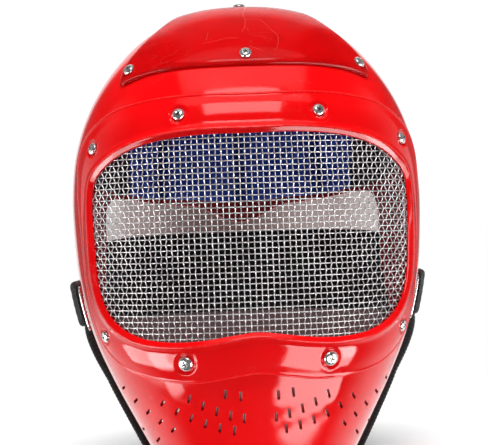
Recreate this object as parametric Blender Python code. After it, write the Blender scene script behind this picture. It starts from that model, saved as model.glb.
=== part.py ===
"""Full-face fencing mask: a moulded helmet shell with a clamped wire visor.

Frame: metres, +Z up, origin under the middle of the mask on the surface it stands on.
The face looks along -Y, and "left" and "right" are as seen by someone facing it, so
right is +X. Every named size below is in millimetres and is scaled by MM when it
becomes a mesh.
"""

import math

import bmesh
import bpy
from mathutils import Matrix, Vector

MM = 0.001

# Clearances between touching pieces, and how finely the round shapes are faceted.
SEAT_GAP = 0.8
SIDES_AROUND = 40
SCREW_SIDES = 8

# Shell: one moulding of even thickness. Each row is a level section of its outer face,
# front and back being its reach along -Y and +Y from the widest plane, Y = 0. The window
# is cut through it between two depths.
WALL = 3.0
WINDOW_CUT = (-160.0, -15.0)
# Columns: z, half_width, front, back.
SECTIONS = (
    (-12, 58, 94, 98),
    (0, 65, 98, 102),
    (30, 81, 105.5, 110),
    (60, 96, 112.5, 114),
    (89, 108, 116.5, 117),
    (117, 115, 117.5, 119.5),
    (141, 118.3, 116.5, 121),
    (178, 120, 113, 122),
    (203, 118.3, 109.5, 120.5),
    (225, 113.3, 105, 116.5),
    (245, 105.2, 98, 109),
    (262, 95, 89, 98.5),
    (278, 82, 76.5, 85),
    (290, 69, 63.5, 71.5),
    (299, 55, 49.5, 57),
    (305.5, 37, 33, 38.5),
    (309.3, 0, 0, 0),
)
APEX = SECTIONS[-1][0]
FRONT_SQUARENESS = 2.3
BACK_SQUARENESS = 2.6
SHELL_LEVELS = (-10, 18, 46, 76, 108, 138, 168, 192, 212, 230, 247, 262, 275, 286, 295, 302, 306.7)

# Rear edge of the shell seen from the side, from the foot of the jaw up behind the ear
# and along the rim at the back of the crown.
# Columns: y, z.
REAR_EDGE = (
    (16, 0),
    (19, 30),
    (25, 60),
    (36, 84),
    (53, 101),
    (69, 122),
    (77, 150),
    (79.5, 172),
    (86, 184),
    (97, 185),
    (108, 182.5),
    (119, 178.5),
)
NAPE_TONGUE_HALF_WIDTH = 40.0
NAPE_TONGUE_DROP = 13.5
NAPE_TONGUE_ROOT = 95.0

# Right half of the window and of the face frame round it, seen from the front, from the
# top middle to the bottom middle. Each row is one station: a point on the window's
# outline and the point of the frame's outer outline that lies across the band from it.
# Columns: window_x, window_z, outer_x, outer_z.
FACE_STATIONS = (
    (0, 219.8, 0, 246),
    (30, 219.8, 34, 246.3),
    (55, 217.5, 62, 244.3),
    (74.5, 212.5, 86, 238.5),
    (89.5, 204, 103, 226),
    (98.8, 193, 110.2, 210),
    (101, 177, 111.4, 188),
    (100.4, 155, 109.9, 158),
    (98.8, 129, 107.6, 126),
    (94.5, 112, 103, 99),
    (85.5, 99.8, 94.5, 81.5),
    (71, 92.2, 80, 70),
    (52, 89.6, 58, 64.3),
    (33, 90.4, 38, 63),
    (16, 92.8, 18, 65.6),
    (0, 94.5, 0, 68),
)
STATION_STEPS = 2

# Face frame: a band 3 mm high with a rounded lip at the window and, behind the lip, a
# rebate for the visor's border. Distances across the band are from the window as seen
# from the front, and a share is the most of the band's width that one may take.
FRAME_REBATE = 6.6
FRAME_REBATE_SHARE = 0.8
REBATE_LIFT = 2.4
FRAME_LIFT = 3.4

# Section of the frame: from the window over the lip to the outer edge, and back below.
# "window" measures out from the window and takes at most a share of the band, "flat" is
# a share of the way from the rebate to the outer edge, and "edge" measures in from it.
# Columns: measured_from, distance, most_share, lift.
FRAME_SECTION = (
    ("window", 0.0, 1.0, REBATE_LIFT),
    ("window", 0.0, 1.0, 4.2),
    ("window", 1.5, 0.2, 5.2),
    ("window", 3.6, 0.45, 4.2),
    ("flat", 0.1, 1.0, FRAME_LIFT),
    ("flat", 0.6, 1.0, FRAME_LIFT),
    ("edge", 0.8, 1.0, FRAME_LIFT - 0.2),
    ("edge", 0.0, 1.0, 2.2),
    ("edge", 0.0, 1.0, SEAT_GAP),
    ("flat", 0.5, 1.0, SEAT_GAP),
    ("flat", 0.02, 1.0, SEAT_GAP),
    ("window", FRAME_REBATE, FRAME_REBATE_SHARE, REBATE_LIFT),
)

# Visor: border clamped on the shell, and bars at every sixth wire of the real weave.
WINDOW_MARGIN = 1.2
VISOR_BORDER = 5.6
VISOR_BORDER_SHARE = 0.68
VISOR_LIFT = 0.5
VISOR_THICKNESS = 1.3
BAR_PITCH = 22.5
BAR_WIDTH = 2.0

# Crown plate: rows from its front edge over the top and down the back. The plate's edge
# bends from y_middle on the centre line to y_edge at the half width.
# Columns: y_middle, y_edge, half_width.
CROWN_PLATE = (
    (-86.8, -57.8, 83),
    (-79, -46.5, 78.5),
    (-66, -41, 69),
    (-50, -35, 57),
    (-30, -20, 46),
    (-8, -2, 40),
    (20, 22, 38),
    (50, 50, 37),
    (74, 72, 36),
    (93, 89, 33),
)
PLATE_ACROSS = 10
PLATE_ROWS = 14
PLATE_THICKNESS = 2.5
PLATE_BOW = 2.3

# Screws: pan heads, 8 mm except the two larger chin screws. Frame screws sit in dimples.
SHANK_RADIUS = 1.7
SHANK_HOLE_RADIUS = 2.15
HEAD_HEIGHT = 2.4
HEAD_GAP = 0.3
DIMPLE_DEPTH = 1.2
DIMPLE_FLARE = 0.6
DIMPLE_PLAY = 0.4
# Columns: name, x, z, head_radius, dimple_radius.
FRAME_SCREWS = (
    ("brow", 44.2, 233.2, 4.0, 7.0),
    ("temple", 99.6, 215, 4.0, 5.2),
    ("cheek", 95.2, 92.9, 4.0, 5.2),
    ("chin", 45, 76, 4.8, 8.0),
)
# Columns: name, x, y, head_radius.
CROWN_SCREWS = (
    ("crown_front", 0, -82.4, 4.0),
    ("crown_top", 0, -4, 4.0),
    ("crown_left", -73.8, -59.2, 4.0),
    ("crown_right", 73.8, -59.2, 4.0),
)

# Chin slots: five curved rows on the right half, mirrored to the left. A row runs from
# its outer slot to its inner one, sagging below the straight line between them.
# Columns: outer_x, outer_z, inner_x, inner_z, sag, count, outer_lean, inner_lean.
CHIN_SLOT_ROWS = (
    (88, 56.5, 55.8, 31, 2.0, 5, 38, 34),
    (76, 27.5, 66, 22.5, 0.0, 2, 34, 32),
    (62, 49, 16.6, 31.4, 2.6, 6, 30, 4),
    (44.7, 52.4, 10.2, 39.3, 1.8, 5, 16, 2),
    (21.6, 55, 12, 53.6, 0.0, 2, 6, 2),
)
SLOT_WIDTH = 2.2
SLOT_LENGTH = 6.4

# Crown liner: padded cloth against the inside of the crown. Its lower edge is at the
# brow in front and just above the shell's rear rim behind.
LINER_THICKNESS = 8.0
# Columns: angle, z.
LINER_EDGE = ((0, 238), (62, 236), (88, 214), (112, 193), (132, 187), (150, 183.5), (180, 178.5))
LINER_FIRST_LEVEL = 6
LINER_GAP = 0.7

# Back strap: elastic that leaves the cheeks, rounds the back of the head and is folded
# thick at its ends. Rows run from an end to the middle of the back, by angle from the
# front of the mask.
# Columns: angle, bottom, top, lift, thickness.
BACK_STRAP = (
    (90.3, 101, 123, 2.9, 5.2),
    (91.2, 97.5, 126.5, 2.9, 5.6),
    (94, 96.5, 127.5, 2.9, 5.4),
    (99, 96.3, 129.5, 2.9, 4.6),
    (105, 96.2, 136, 1.2, 3.2),
    (112, 96, 144, 0.8, 3.0),
    (120, 96, 150, 0.8, 3.0),
    (132, 96, 154.5, -1.5, 3.0),
    (148, 96, 156, -6, 3.0),
    (164, 96, 156.5, -9, 3.0),
    (180, 96, 156.5, -10, 3.0),
)

STRAP_STATIONS = 15

# Strap loops: flat steel, under the strap's ends. Angles are from the front.
LOOP_ANGLES = (87.5, 95.0)
LOOP_BOTTOM = 93.0
LOOP_TOP = 124.0
LOOP_RAIL = 3.0
LOOP_THICKNESS = 1.8
LOOP_LIFT = 0.6

# Jaw edging: a padded channel that grips the shell's rear edge below the strap. Each
# row is a corner of its section: out from the shell's outer face, and past its edge.
EDGING_FOOT = 4.5
EDGING_TOP = 86.5
EDGING_STATIONS = 9
# Columns: out, past.
EDGING_SECTION = (
    (0.9, -7.5),
    (2.8, -8.0),
    (4.8, -6.0),
    (4.8, 3.0),
    (3.0, 5.6),
    (-6.4, 5.6),
    (-8.6, 3.0),
    (-8.6, -6.0),
    (-7.0, -8.0),
    (-5.2, -7.5),
    (-5.2, 2.0),
    (0.9, 2.0),
)

# Colours are linear RGB.
FINISHES = {
    "red plastic": ((0.70, 0.006, 0.008), 0.12, 0.0),
    "steel wire": ((0.62, 0.61, 0.60), 0.30, 1.0),
    "bright screw": ((0.80, 0.79, 0.77), 0.18, 1.0),
    "navy padding": ((0.012, 0.020, 0.130), 0.90, 0.0),
    "black webbing": ((0.012, 0.012, 0.013), 0.85, 0.0),
}


# ---------------------------------------------------------------- curves through tables


def smooth_through(xs, ys, x):
    """The value at x of a smooth curve through (xs, ys) that never overshoots a row."""
    gaps = [b - a for a, b in zip(xs, xs[1:])]
    slopes = [(b - a) / gap for a, b, gap in zip(ys, ys[1:], gaps)]
    tangents = [slopes[0]]
    for i in range(1, len(slopes)):
        if slopes[i - 1] * slopes[i] > 0:
            early = 2 * gaps[i] + gaps[i - 1]
            late = gaps[i] + 2 * gaps[i - 1]
            tangents.append((early + late) / (early / slopes[i - 1] + late / slopes[i]))
        else:
            tangents.append(0.0)
    tangents.append(slopes[-1])
    i = max(0, min(len(gaps) - 1, sum(1 for row in xs if row <= x) - 1))
    t = (x - xs[i]) / gaps[i]
    rise = t * t * (3 - 2 * t)
    start = t * (1 - t) ** 2 * gaps[i] * tangents[i]
    end = t * t * (t - 1) * gaps[i] * tangents[i + 1]
    return ys[i] * (1 - rise) + ys[i + 1] * rise + start + end


def table_at(rows, x):
    """All the later columns of a table, smoothly read at x in its first column."""
    columns = list(zip(*rows))
    return [smooth_through(columns[0], column, x) for column in columns[1:]]


def spline(points, steps, closed):
    """A smooth curve through 2D points, with `steps` samples between each two."""
    points = [Vector(point) for point in points]
    if closed:
        padded = [points[-1]] + points + points[:2]
    else:
        padded = [points[0] * 2 - points[1]] + points + [points[-1] * 2 - points[-2]]
    curve = []
    for a, b, c, d in zip(padded, padded[1:], padded[2:], padded[3:]):
        for step in range(steps):
            t = step / steps
            bend = (2 * a - 5 * b + 4 * c - d) * t**2 + (3 * b - a - 3 * c + d) * t**3
            curve.append((2 * b + (c - a) * t + bend) / 2)
    return curve if closed else curve + [points[-1]]


# ---------------------------------------------------------------- the shell's outer face


def section_at(z):
    """(half_width, front, back) of the outer face at a level. Their squares are
    interpolated, so the crown closes as a round dome."""
    z = min(z, APEX - 0.01)
    zs = [row[0] for row in SECTIONS]
    return [math.sqrt(max(1e-6, smooth_through(zs, [row[k] ** 2 for row in SECTIONS], z))) for k in (1, 2, 3)]


def face_value(x, y, z):
    """Under 1 inside the outer face, 1 on it and over 1 outside."""
    half_width, front, back = section_at(z)
    depth, power = (front, FRONT_SQUARENESS) if y < 0 else (back, BACK_SQUARENESS)
    return (abs(x) / half_width) ** power + (abs(y) / depth) ** power


def lifted(x, y, z, lift):
    """The point of the outer face at (x, y, z), moved out along its normal."""
    step = 0.2
    normal = Vector(
        (
            face_value(x + step, y, z) - face_value(x - step, y, z),
            face_value(x, y + step, z) - face_value(x, y - step, z),
            face_value(x, y, z + step) - face_value(x, y, z - step),
        )
    ).normalized()
    return Vector((x, y, z)) + lift * normal


def ring_point(angle, z, lift=0.0):
    """A point of the outer face by its angle from the front, in degrees, and its level."""
    half_width, front, back = section_at(z)
    side, ahead = math.sin(math.radians(angle)), math.cos(math.radians(angle))
    depth, power = (-front, FRONT_SQUARENESS) if ahead > 0 else (back, BACK_SQUARENESS)
    x = math.copysign(abs(side) ** (2 / power), side) * half_width
    y = abs(ahead) ** (2 / power) * depth
    return lifted(x, y, z, lift)


def front_point(x, z, lift=0.0):
    """A point of the outer face straight behind (x, z) as seen from the front."""
    half_width, front, _ = section_at(z)
    share = min(1.0, abs(x) / half_width)
    y = -front * (1 - share**FRONT_SQUARENESS) ** (1 / FRONT_SQUARENESS)
    return lifted(x, y, z, lift)


def crown_point(x, y, lift=0.0):
    """A point of the outer face straight below (x, y) as seen from above."""
    low, high = SECTIONS[7][0], APEX
    for _ in range(40):
        z = (low + high) / 2
        low, high = (z, high) if face_value(x, y, z) < 1 else (low, z)
    return lifted(x, y, z, lift)


def side_point(side, y, z, lift=0.0):
    """A point of the outer face straight in from the left (-1) or the right (+1)."""
    half_width, _, back = section_at(z)
    x = side * half_width * (1 - (y / back) ** BACK_SQUARENESS) ** (1 / BACK_SQUARENESS)
    return lifted(x, y, z, lift)


# ---------------------------------------------------------------- meshes and objects


def material(name):
    made = bpy.data.materials.get(name)
    if made is None:
        colour, roughness, metallic = FINISHES[name]
        made = bpy.data.materials.new(name)
        made.use_nodes = True
        made.diffuse_color = (*colour, 1.0)
        surface = made.node_tree.nodes["Principled BSDF"]
        surface.inputs["Base Color"].default_value = (*colour, 1.0)
        surface.inputs["Roughness"].default_value = roughness
        surface.inputs["Metallic"].default_value = metallic
    return made


def new_object(name, mesh_data, finish=None):
    """Turns a bmesh in millimetres into an object. Without a finish it is a cutter."""
    bmesh.ops.recalc_face_normals(mesh_data, faces=mesh_data.faces)
    bmesh.ops.scale(mesh_data, vec=(MM, MM, MM), verts=mesh_data.verts)
    mesh = bpy.data.meshes.new(name)
    mesh_data.to_mesh(mesh)
    mesh_data.free()
    made = bpy.data.objects.new(name, mesh)
    bpy.context.scene.collection.objects.link(made)
    if finish is None:
        made.hide_render = True
        made.display_type = "WIRE"
    else:
        mesh.materials.append(material(finish))
        mesh.shade_smooth()
        mesh.set_sharp_from_angle(angle=math.radians(40))
    return made


def skin(mesh_data, rings, ends="filled", strips=False, dome_top=APEX):
    """Quads between rings of points, or between open strips of them. The ends are
    "filled", "joined" to each other, "open", or a "dome" that is open at its foot and
    closes on a point at the apex."""
    made = [[mesh_data.verts.new(point) for point in ring] for ring in rings]
    count = len(made[0])
    for near, far in zip(made, made[1:] + made[:1] if ends == "joined" else made[1:]):
        for i in range(count - 1 if strips else count):
            j = (i + 1) % count
            mesh_data.faces.new((near[i], near[j], far[j], far[i]))
    if ends == "filled":
        mesh_data.faces.new(made[0])
        mesh_data.faces.new(made[-1])
    if ends == "dome":
        top = mesh_data.verts.new((0, 0, dome_top))
        for i in range(count):
            mesh_data.faces.new((made[-1][i], made[-1][(i + 1) % count], top))


def solidify(made, thickness):
    """Thickens a surface, inwards when the thickness is negative."""
    modifier = made.modifiers.new("wall", "SOLIDIFY")
    modifier.thickness = abs(thickness) * MM
    modifier.offset = math.copysign(1.0, thickness)
    modifier.use_even_offset = True


def cut(made, cutter):
    modifier = made.modifiers.new("cut " + cutter.name, "BOOLEAN")
    modifier.operation = "DIFFERENCE"
    modifier.object = cutter


def upright_on(point, normal):
    """The matrix that stands a piece built along +Z on a point, along a normal."""
    turn = normal.to_track_quat("Z", "Y").to_matrix().to_4x4()
    return Matrix.Translation(point) @ turn


def drum(mesh_data, place, radii_and_levels, sides):
    """A turned solid about the place's own Z, from (radius, level) pairs."""
    rings = []
    for radius, level in radii_and_levels:
        corners = [math.tau * i / sides for i in range(sides)]
        rings.append([place @ Vector((radius * math.cos(a), radius * math.sin(a), level)) for a in corners])
    skin(mesh_data, rings)


# ---------------------------------------------------------------- outlines of the face


def face_loops():
    """Matching closed outlines of the window and of the frame's outer edge, as (x, z)."""
    right = FACE_STATIONS
    left = [(-wx, wz, -ox, oz) for wx, wz, ox, oz in right[-2:0:-1]]
    both = list(right) + left
    window = spline([(wx, wz) for wx, wz, _, _ in both], STATION_STEPS, closed=True)
    outer = spline([(ox, oz) for _, _, ox, oz in both], STATION_STEPS, closed=True)
    return window, outer


def across_band(window, outer, inset, share_limit=1.0):
    """The outline that lies `inset` out from the window towards the frame's edge."""
    loop = []
    for near, far in zip(window, outer):
        reach = far - near
        loop.append(near + reach * min(inset / reach.length, share_limit))
    return loop


def from_edge(window, outer, margin):
    """The outline that lies `margin` in from the frame's outer edge."""
    return [far - (far - near).normalized() * margin for near, far in zip(window, outer)]


def part_way(window, outer, share):
    """The outline a share of the way from the rebate to the frame's outer edge."""
    first = across_band(window, outer, FRAME_REBATE, FRAME_REBATE_SHARE)
    return [near.lerp(far, share) for near, far in zip(first, outer)]


def prism_along_y(outline, near_y, far_y, name):
    """A cutter that runs along Y through an (x, z) outline."""
    mesh_data = bmesh.new()
    skin(mesh_data, [[Vector((x, y, z)) for x, z in outline] for y in (near_y, far_y)])
    return new_object(name, mesh_data)


# ---------------------------------------------------------------- pieces


def build_shell(window, outer):
    mesh_data = bmesh.new()
    angles = [360 * i / SIDES_AROUND for i in range(SIDES_AROUND)]
    rings = [[ring_point(angle, level) for angle in angles] for level in SHELL_LEVELS]
    skin(mesh_data, rings, ends="dome")
    shell = new_object("shell", mesh_data, "red plastic")
    solidify(shell, -WALL)
    cut(shell, rear_cutter())
    opening = across_band(window, outer, WINDOW_MARGIN)
    cut(shell, prism_along_y(opening, *WINDOW_CUT, "window cutter"))
    cut(shell, chin_slot_cutter())
    return shell


def rear_cutter():
    """Everything behind and below the shell's rear edge, with the nape tongue kept, and
    everything below the floor."""
    edge = spline(REAR_EDGE, 3, closed=False)
    beyond = 220
    below = -60
    half = 160
    tongue = [NAPE_TONGUE_HALF_WIDTH * share / 4 for share in range(-4, 5)]
    sections = []
    for x in [-half] + tongue + [half]:
        inside = abs(x) < NAPE_TONGUE_HALF_WIDTH
        swell = math.cos(math.pi * x / (2 * NAPE_TONGUE_HALF_WIDTH)) ** 2 if inside else 0.0
        section = [Vector((x, -beyond, below)), Vector((x, -beyond, 0.0))]
        for y, z in edge:
            drop = NAPE_TONGUE_DROP * swell * max(0.0, min(1.0, (y - NAPE_TONGUE_ROOT) / 18))
            section.append(Vector((x, y, z - drop)))
        section.append(Vector((x, beyond, edge[-1][1] - NAPE_TONGUE_DROP * swell)))
        section.append(Vector((x, beyond, below)))
        sections.append(section)
    mesh_data = bmesh.new()
    skin(mesh_data, sections)
    return new_object("rear cutter", mesh_data)


def chin_slots():
    """(x, z, lean) of every slot, lean in degrees with the top towards the centre."""
    slots = []
    for outer_x, outer_z, inner_x, inner_z, sag, count, outer_lean, inner_lean in CHIN_SLOT_ROWS:
        for i in range(count):
            t = i / (count - 1)
            x = outer_x + (inner_x - outer_x) * t
            z = outer_z + (inner_z - outer_z) * t - sag * 4 * t * (1 - t)
            lean = outer_lean + (inner_lean - outer_lean) * t
            slots += [(x, z, lean), (-x, z, -lean)]
    return slots


def chin_slot_cutter():
    """Each slot leans as seen from the front, and is longer where the chin turns away."""
    mesh_data = bmesh.new()
    for x, z, lean in chin_slots():
        base = front_point(x, z)
        out = (front_point(x, z, 1.0) - base).normalized()
        up = Vector((-math.sin(math.radians(lean)), 0, math.cos(math.radians(lean))))
        up.y = -up.dot(out) / out.y
        along = up.normalized()
        length = SLOT_LENGTH * min(max(up.length / 1.5, 1), 1.6)
        turn = Matrix((out.cross(along), along, out)).transposed().to_4x4()
        size = Matrix.Diagonal((SLOT_WIDTH, length, 6 * WALL, 1))
        bmesh.ops.create_cube(mesh_data, size=1, matrix=Matrix.Translation(base) @ turn @ size)
    return new_object("chin slot cutter", mesh_data)


def build_frame(window, outer):
    rings = []
    for measured_from, distance, most_share, lift in FRAME_SECTION:
        if measured_from == "window":
            outline = across_band(window, outer, distance, most_share)
        elif measured_from == "flat":
            outline = part_way(window, outer, distance)
        else:
            outline = from_edge(window, outer, distance)
        rings.append([front_point(x, z, lift) for x, z in outline])
    mesh_data = bmesh.new()
    skin(mesh_data, rings, ends="joined")
    return new_object("face_frame", mesh_data, "red plastic")


def build_visor(window, outer):
    """A flat panel ruled into bars and laid on the curve of the face, then thickened."""
    mesh_data = bmesh.new()
    border = across_band(window, outer, VISOR_BORDER, VISOR_BORDER_SHARE)
    near = [mesh_data.verts.new((x, 0, z)) for x, z in window]
    far = [mesh_data.verts.new((x, 0, z)) for x, z in border]
    count = len(near)
    for i in range(count):
        j = (i + 1) % count
        mesh_data.faces.new((near[i], near[j], far[j], far[i]))
    panel = mesh_data.faces.new(near)
    low_z = min(z for _, z in window)
    high_z = max(z for _, z in window)
    middle_z = (low_z + high_z) / 2
    cells = [panel]
    for axis, middle, reach in (("x", 0.0, 104.0), ("z", middle_z, 66.0)):
        bars = int(reach / BAR_PITCH)
        for i in range(-bars, bars + 1):
            centre = middle + i * BAR_PITCH
            normal = Vector((1, 0, 0)) if axis == "x" else Vector((0, 0, 1))
            cells = [face for face in cells if face.is_valid]
            geometry = cells + list({edge for face in cells for edge in face.edges})
            geometry += list({vert for face in cells for vert in face.verts})
            plane = {"plane_co": normal * centre, "plane_no": normal, "dist": 1e-5}
            ruled = bmesh.ops.bisect_plane(mesh_data, geom=geometry, **plane)
            cells = [item for item in ruled["geom"] if isinstance(item, bmesh.types.BMFace)]
    smallest = BAR_PITCH * BAR_PITCH * 0.16
    cells = [face for face in cells if face.calc_area() > smallest]
    bmesh.ops.inset_individual(mesh_data, faces=cells, thickness=BAR_WIDTH / 2, use_even_offset=True)
    bmesh.ops.delete(mesh_data, geom=cells, context="FACES")
    for vert in mesh_data.verts:
        vert.co = front_point(vert.co.x, vert.co.z, VISOR_LIFT)
    visor = new_object("visor_mesh", mesh_data, "steel wire")
    solidify(visor, VISOR_THICKNESS)


def build_crown_plate():
    rows = []
    for y_middle, y_edge, half_width in smoothed_rows(CROWN_PLATE, PLATE_ROWS):
        row = []
        for i in range(PLATE_ACROSS + 1):
            share = 2 * i / PLATE_ACROSS - 1
            y = y_middle + (y_edge - y_middle) * abs(share) ** PLATE_BOW
            row.append(crown_point(share * half_width, y, SEAT_GAP))
        rows.append(row)
    mesh_data = bmesh.new()
    skin(mesh_data, rows, ends="open", strips=True)
    plate = new_object("crown_plate", mesh_data, "red plastic")
    solidify(plate, PLATE_THICKNESS)
    return plate


def smoothed_rows(rows, count):
    """The rows of a table, read at `count` places over its first column, closest at its
    two ends, where the crown is steep."""
    first = [row[0] for row in rows]
    spread = []
    for i in range(count):
        share = (1 - math.cos(math.pi * i / (count - 1))) / 2
        at = first[0] + (first[-1] - first[0]) * share
        spread.append([at] + table_at(rows, at))
    return spread


def build_screw(name, seat, normal, head_radius, grip, pierced):
    """A pan-head screw whose head sits on `seat`, with its hole through what it holds.
    Its shank is as long as `grip`."""
    place = upright_on(seat, normal)
    profile = (
        (SHANK_RADIUS, -grip),
        (SHANK_RADIUS, 0.0),
        (head_radius, 0.0),
        (head_radius, 0.35 * HEAD_HEIGHT),
        (0.72 * head_radius, 0.82 * HEAD_HEIGHT),
        (0.30 * head_radius, HEAD_HEIGHT),
    )
    mesh_data = bmesh.new()
    drum(mesh_data, place, profile, SCREW_SIDES)
    new_object("screw_" + name, mesh_data, "bright screw")
    mesh_data = bmesh.new()
    hole_ends = ((SHANK_HOLE_RADIUS, -grip - WALL), (SHANK_HOLE_RADIUS, WALL))
    drum(mesh_data, place, hole_ends, SCREW_SIDES)
    hole = new_object("hole cutter " + name, mesh_data)
    for made in pierced:
        cut(made, hole)


def build_frame_screws(shell, frame):
    for name, x, z, head_radius, dimple_radius in FRAME_SCREWS:
        for side, hand in ((-1, "left"), (1, "right")):
            base = front_point(side * x, z)
            normal = (front_point(side * x, z, 1.0) - base).normalized()
            floor = FRAME_LIFT - DIMPLE_DEPTH
            mesh_data = bmesh.new()
            foot = (head_radius + DIMPLE_PLAY, floor)
            mouth = (dimple_radius + DIMPLE_FLARE, FRAME_LIFT + DIMPLE_FLARE)
            drum(mesh_data, upright_on(base, normal), (foot, mouth), SCREW_SIDES)
            cut(frame, new_object(f"dimple cutter {name} {hand}", mesh_data))
            seat = base + normal * (floor + HEAD_GAP)
            build_screw(f"{name}_{hand}", seat, normal, head_radius, floor + WALL, (shell, frame))


def build_crown_screws(shell, plate):
    for name, x, y, head_radius in CROWN_SCREWS:
        base = crown_point(x, y)
        normal = (crown_point(x, y, 1.0) - base).normalized()
        top = SEAT_GAP + PLATE_THICKNESS
        seat = base + normal * (top + HEAD_GAP)
        build_screw(name, seat, normal, head_radius, top + WALL, (shell, plate))


def build_liner():
    """A dome on every second column and level of the shell, so that its flats stay
    inside the shell's, cut off along its lower edge."""
    angles = [360 * i / SIDES_AROUND for i in range(0, SIDES_AROUND, 2)]
    levels = SHELL_LEVELS[LINER_FIRST_LEVEL::2]
    depth = -WALL - LINER_GAP
    rings = [[ring_point(angle, level, depth) for angle in angles] for level in levels]
    mesh_data = bmesh.new()
    skin(mesh_data, rings, ends="dome", dome_top=APEX + depth)
    liner = new_object("crown_liner", mesh_data, "navy padding")
    solidify(liner, -LINER_THICKNESS)
    rings = []
    for radius, raised in ((160, False), (160, True), (30, True)):
        ring = []
        for angle in range(0, 360, 12):
            z = table_at(LINER_EDGE, min(angle, 360 - angle))[0] if raised else 60.0
            turn = math.radians(angle)
            ring.append(Vector((radius * math.sin(turn), -radius * math.cos(turn), z)))
        rings.append(ring)
    mesh_data = bmesh.new()
    skin(mesh_data, rings)
    cut(liner, new_object("liner cutter", mesh_data))


def build_strap():
    level = (BACK_STRAP[0][1] + BACK_STRAP[0][2]) / 2
    angles = spread_angles(BACK_STRAP[0][0], 180.0, level, STRAP_STATIONS)
    angles += [360 - angle for angle in angles[-2::-1]]
    sections = []
    for angle in angles:
        bottom, top, lift, thickness = table_at(BACK_STRAP, min(angle, 360 - angle))
        inner = [ring_point(angle, z, lift) for z in (bottom, (bottom + top) / 2, top)]
        outer = [ring_point(angle, z, lift + thickness) for z in (top, (bottom + top) / 2, bottom)]
        sections.append(inner + outer)
    mesh_data = bmesh.new()
    skin(mesh_data, sections)
    new_object("back_strap", mesh_data, "black webbing")


def spread_angles(first, last, level, count):
    """Angles from first to last that lie evenly along the outer face at a level."""
    fine = [first + (last - first) * i / 400 for i in range(401)]
    points = [ring_point(angle, level) for angle in fine]
    run = [0.0]
    for a, b in zip(points, points[1:]):
        run.append(run[-1] + (b - a).length)
    picked = []
    for i in range(count):
        at = run[-1] * i / (count - 1)
        near = min(range(401), key=lambda k: abs(run[k] - at))
        picked.append(fine[near])
    return picked


def build_strap_loops():
    for side, hand in ((1, "right"), (-1, "left")):
        mesh_data = bmesh.new()
        front, rear = LOOP_ANGLES
        outline = [(front, LOOP_BOTTOM), (rear, LOOP_BOTTOM), (rear, LOOP_TOP), (front, LOOP_TOP)]
        inset = LOOP_RAIL * (rear - front) / 22
        slot = [
            (front + inset, LOOP_BOTTOM + LOOP_RAIL),
            (rear - inset, LOOP_BOTTOM + LOOP_RAIL),
            (rear - inset, LOOP_TOP - LOOP_RAIL),
            (front + inset, LOOP_TOP - LOOP_RAIL),
        ]
        rings = []
        low, high = LOOP_LIFT, LOOP_LIFT + LOOP_THICKNESS
        for corners, lift in ((outline, low), (outline, high), (slot, high), (slot, low)):
            loop = []
            for i in range(4):
                a, b = corners[i], corners[(i + 1) % 4]
                for step in range(3):
                    t = step / 3
                    angle = a[0] + (b[0] - a[0]) * t
                    z = a[1] + (b[1] - a[1]) * t
                    loop.append(ring_point(side * angle, z, lift))
            rings.append(loop)
        skin(mesh_data, rings, ends="joined")
        new_object("strap_loop_" + hand, mesh_data, "bright screw")


def build_jaw_edging():
    edge = spline(REAR_EDGE, 12, closed=False)
    ys = [point.x for point in edge]
    zs = [point.y for point in edge]
    for side, hand in ((1, "right"), (-1, "left")):
        sections = []
        for i in range(EDGING_STATIONS):
            z = EDGING_FOOT + (EDGING_TOP - EDGING_FOOT) * i / (EDGING_STATIONS - 1)
            here = edge_point(side, ys, zs, z)
            along = (edge_point(side, ys, zs, z + 0.5) - edge_point(side, ys, zs, z - 0.5)).normalized()
            y = here.y
            out = (side_point(side, y, z, 1.0) - here).normalized()
            past = along.cross(out).normalized()
            if past.y < 0:
                past.negate()
            sections.append([here + out * a + past * b for a, b in EDGING_SECTION])
        mesh_data = bmesh.new()
        skin(mesh_data, sections)
        new_object("jaw_edging_" + hand, mesh_data, "black webbing")


def edge_point(side, ys, zs, z):
    """The point of the shell's rear edge on its outer face, at a level below the ear."""
    i = next(k for k in range(len(zs) - 1) if zs[k + 1] >= z)
    t = (z - zs[i]) / (zs[i + 1] - zs[i])
    y = ys[i] + (ys[i + 1] - ys[i]) * t
    return side_point(side, y, z)


def clear_scene():
    for old in list(bpy.data.objects):
        bpy.data.objects.remove(old, do_unlink=True)


def main():
    clear_scene()
    window, outer = face_loops()
    shell = build_shell(window, outer)
    frame = build_frame(window, outer)
    build_visor(window, outer)
    plate = build_crown_plate()
    build_frame_screws(shell, frame)
    build_crown_screws(shell, plate)
    build_liner()
    build_strap()
    build_strap_loops()
    build_jaw_edging()


main()
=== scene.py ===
import math
import random

import bmesh
import bpy
import numpy as np
from mathutils import Matrix, Vector, noise


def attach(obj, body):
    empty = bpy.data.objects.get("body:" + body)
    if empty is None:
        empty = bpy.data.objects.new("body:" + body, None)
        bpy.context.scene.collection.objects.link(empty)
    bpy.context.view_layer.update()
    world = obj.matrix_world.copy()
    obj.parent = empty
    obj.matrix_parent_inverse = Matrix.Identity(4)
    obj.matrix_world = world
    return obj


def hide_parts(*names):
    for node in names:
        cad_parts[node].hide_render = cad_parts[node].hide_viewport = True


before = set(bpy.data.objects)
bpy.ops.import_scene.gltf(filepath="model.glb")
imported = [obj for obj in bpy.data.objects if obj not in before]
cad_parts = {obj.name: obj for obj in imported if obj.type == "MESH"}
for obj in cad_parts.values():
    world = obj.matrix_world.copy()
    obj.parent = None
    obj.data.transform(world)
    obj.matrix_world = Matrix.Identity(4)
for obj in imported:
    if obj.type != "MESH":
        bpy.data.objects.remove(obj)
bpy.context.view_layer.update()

# The mask faces -Y with +Z up. "Left" and "right" are as seen by someone who faces it, so right is +X.
# Sizes are in millimetres until a piece is finished.

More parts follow.
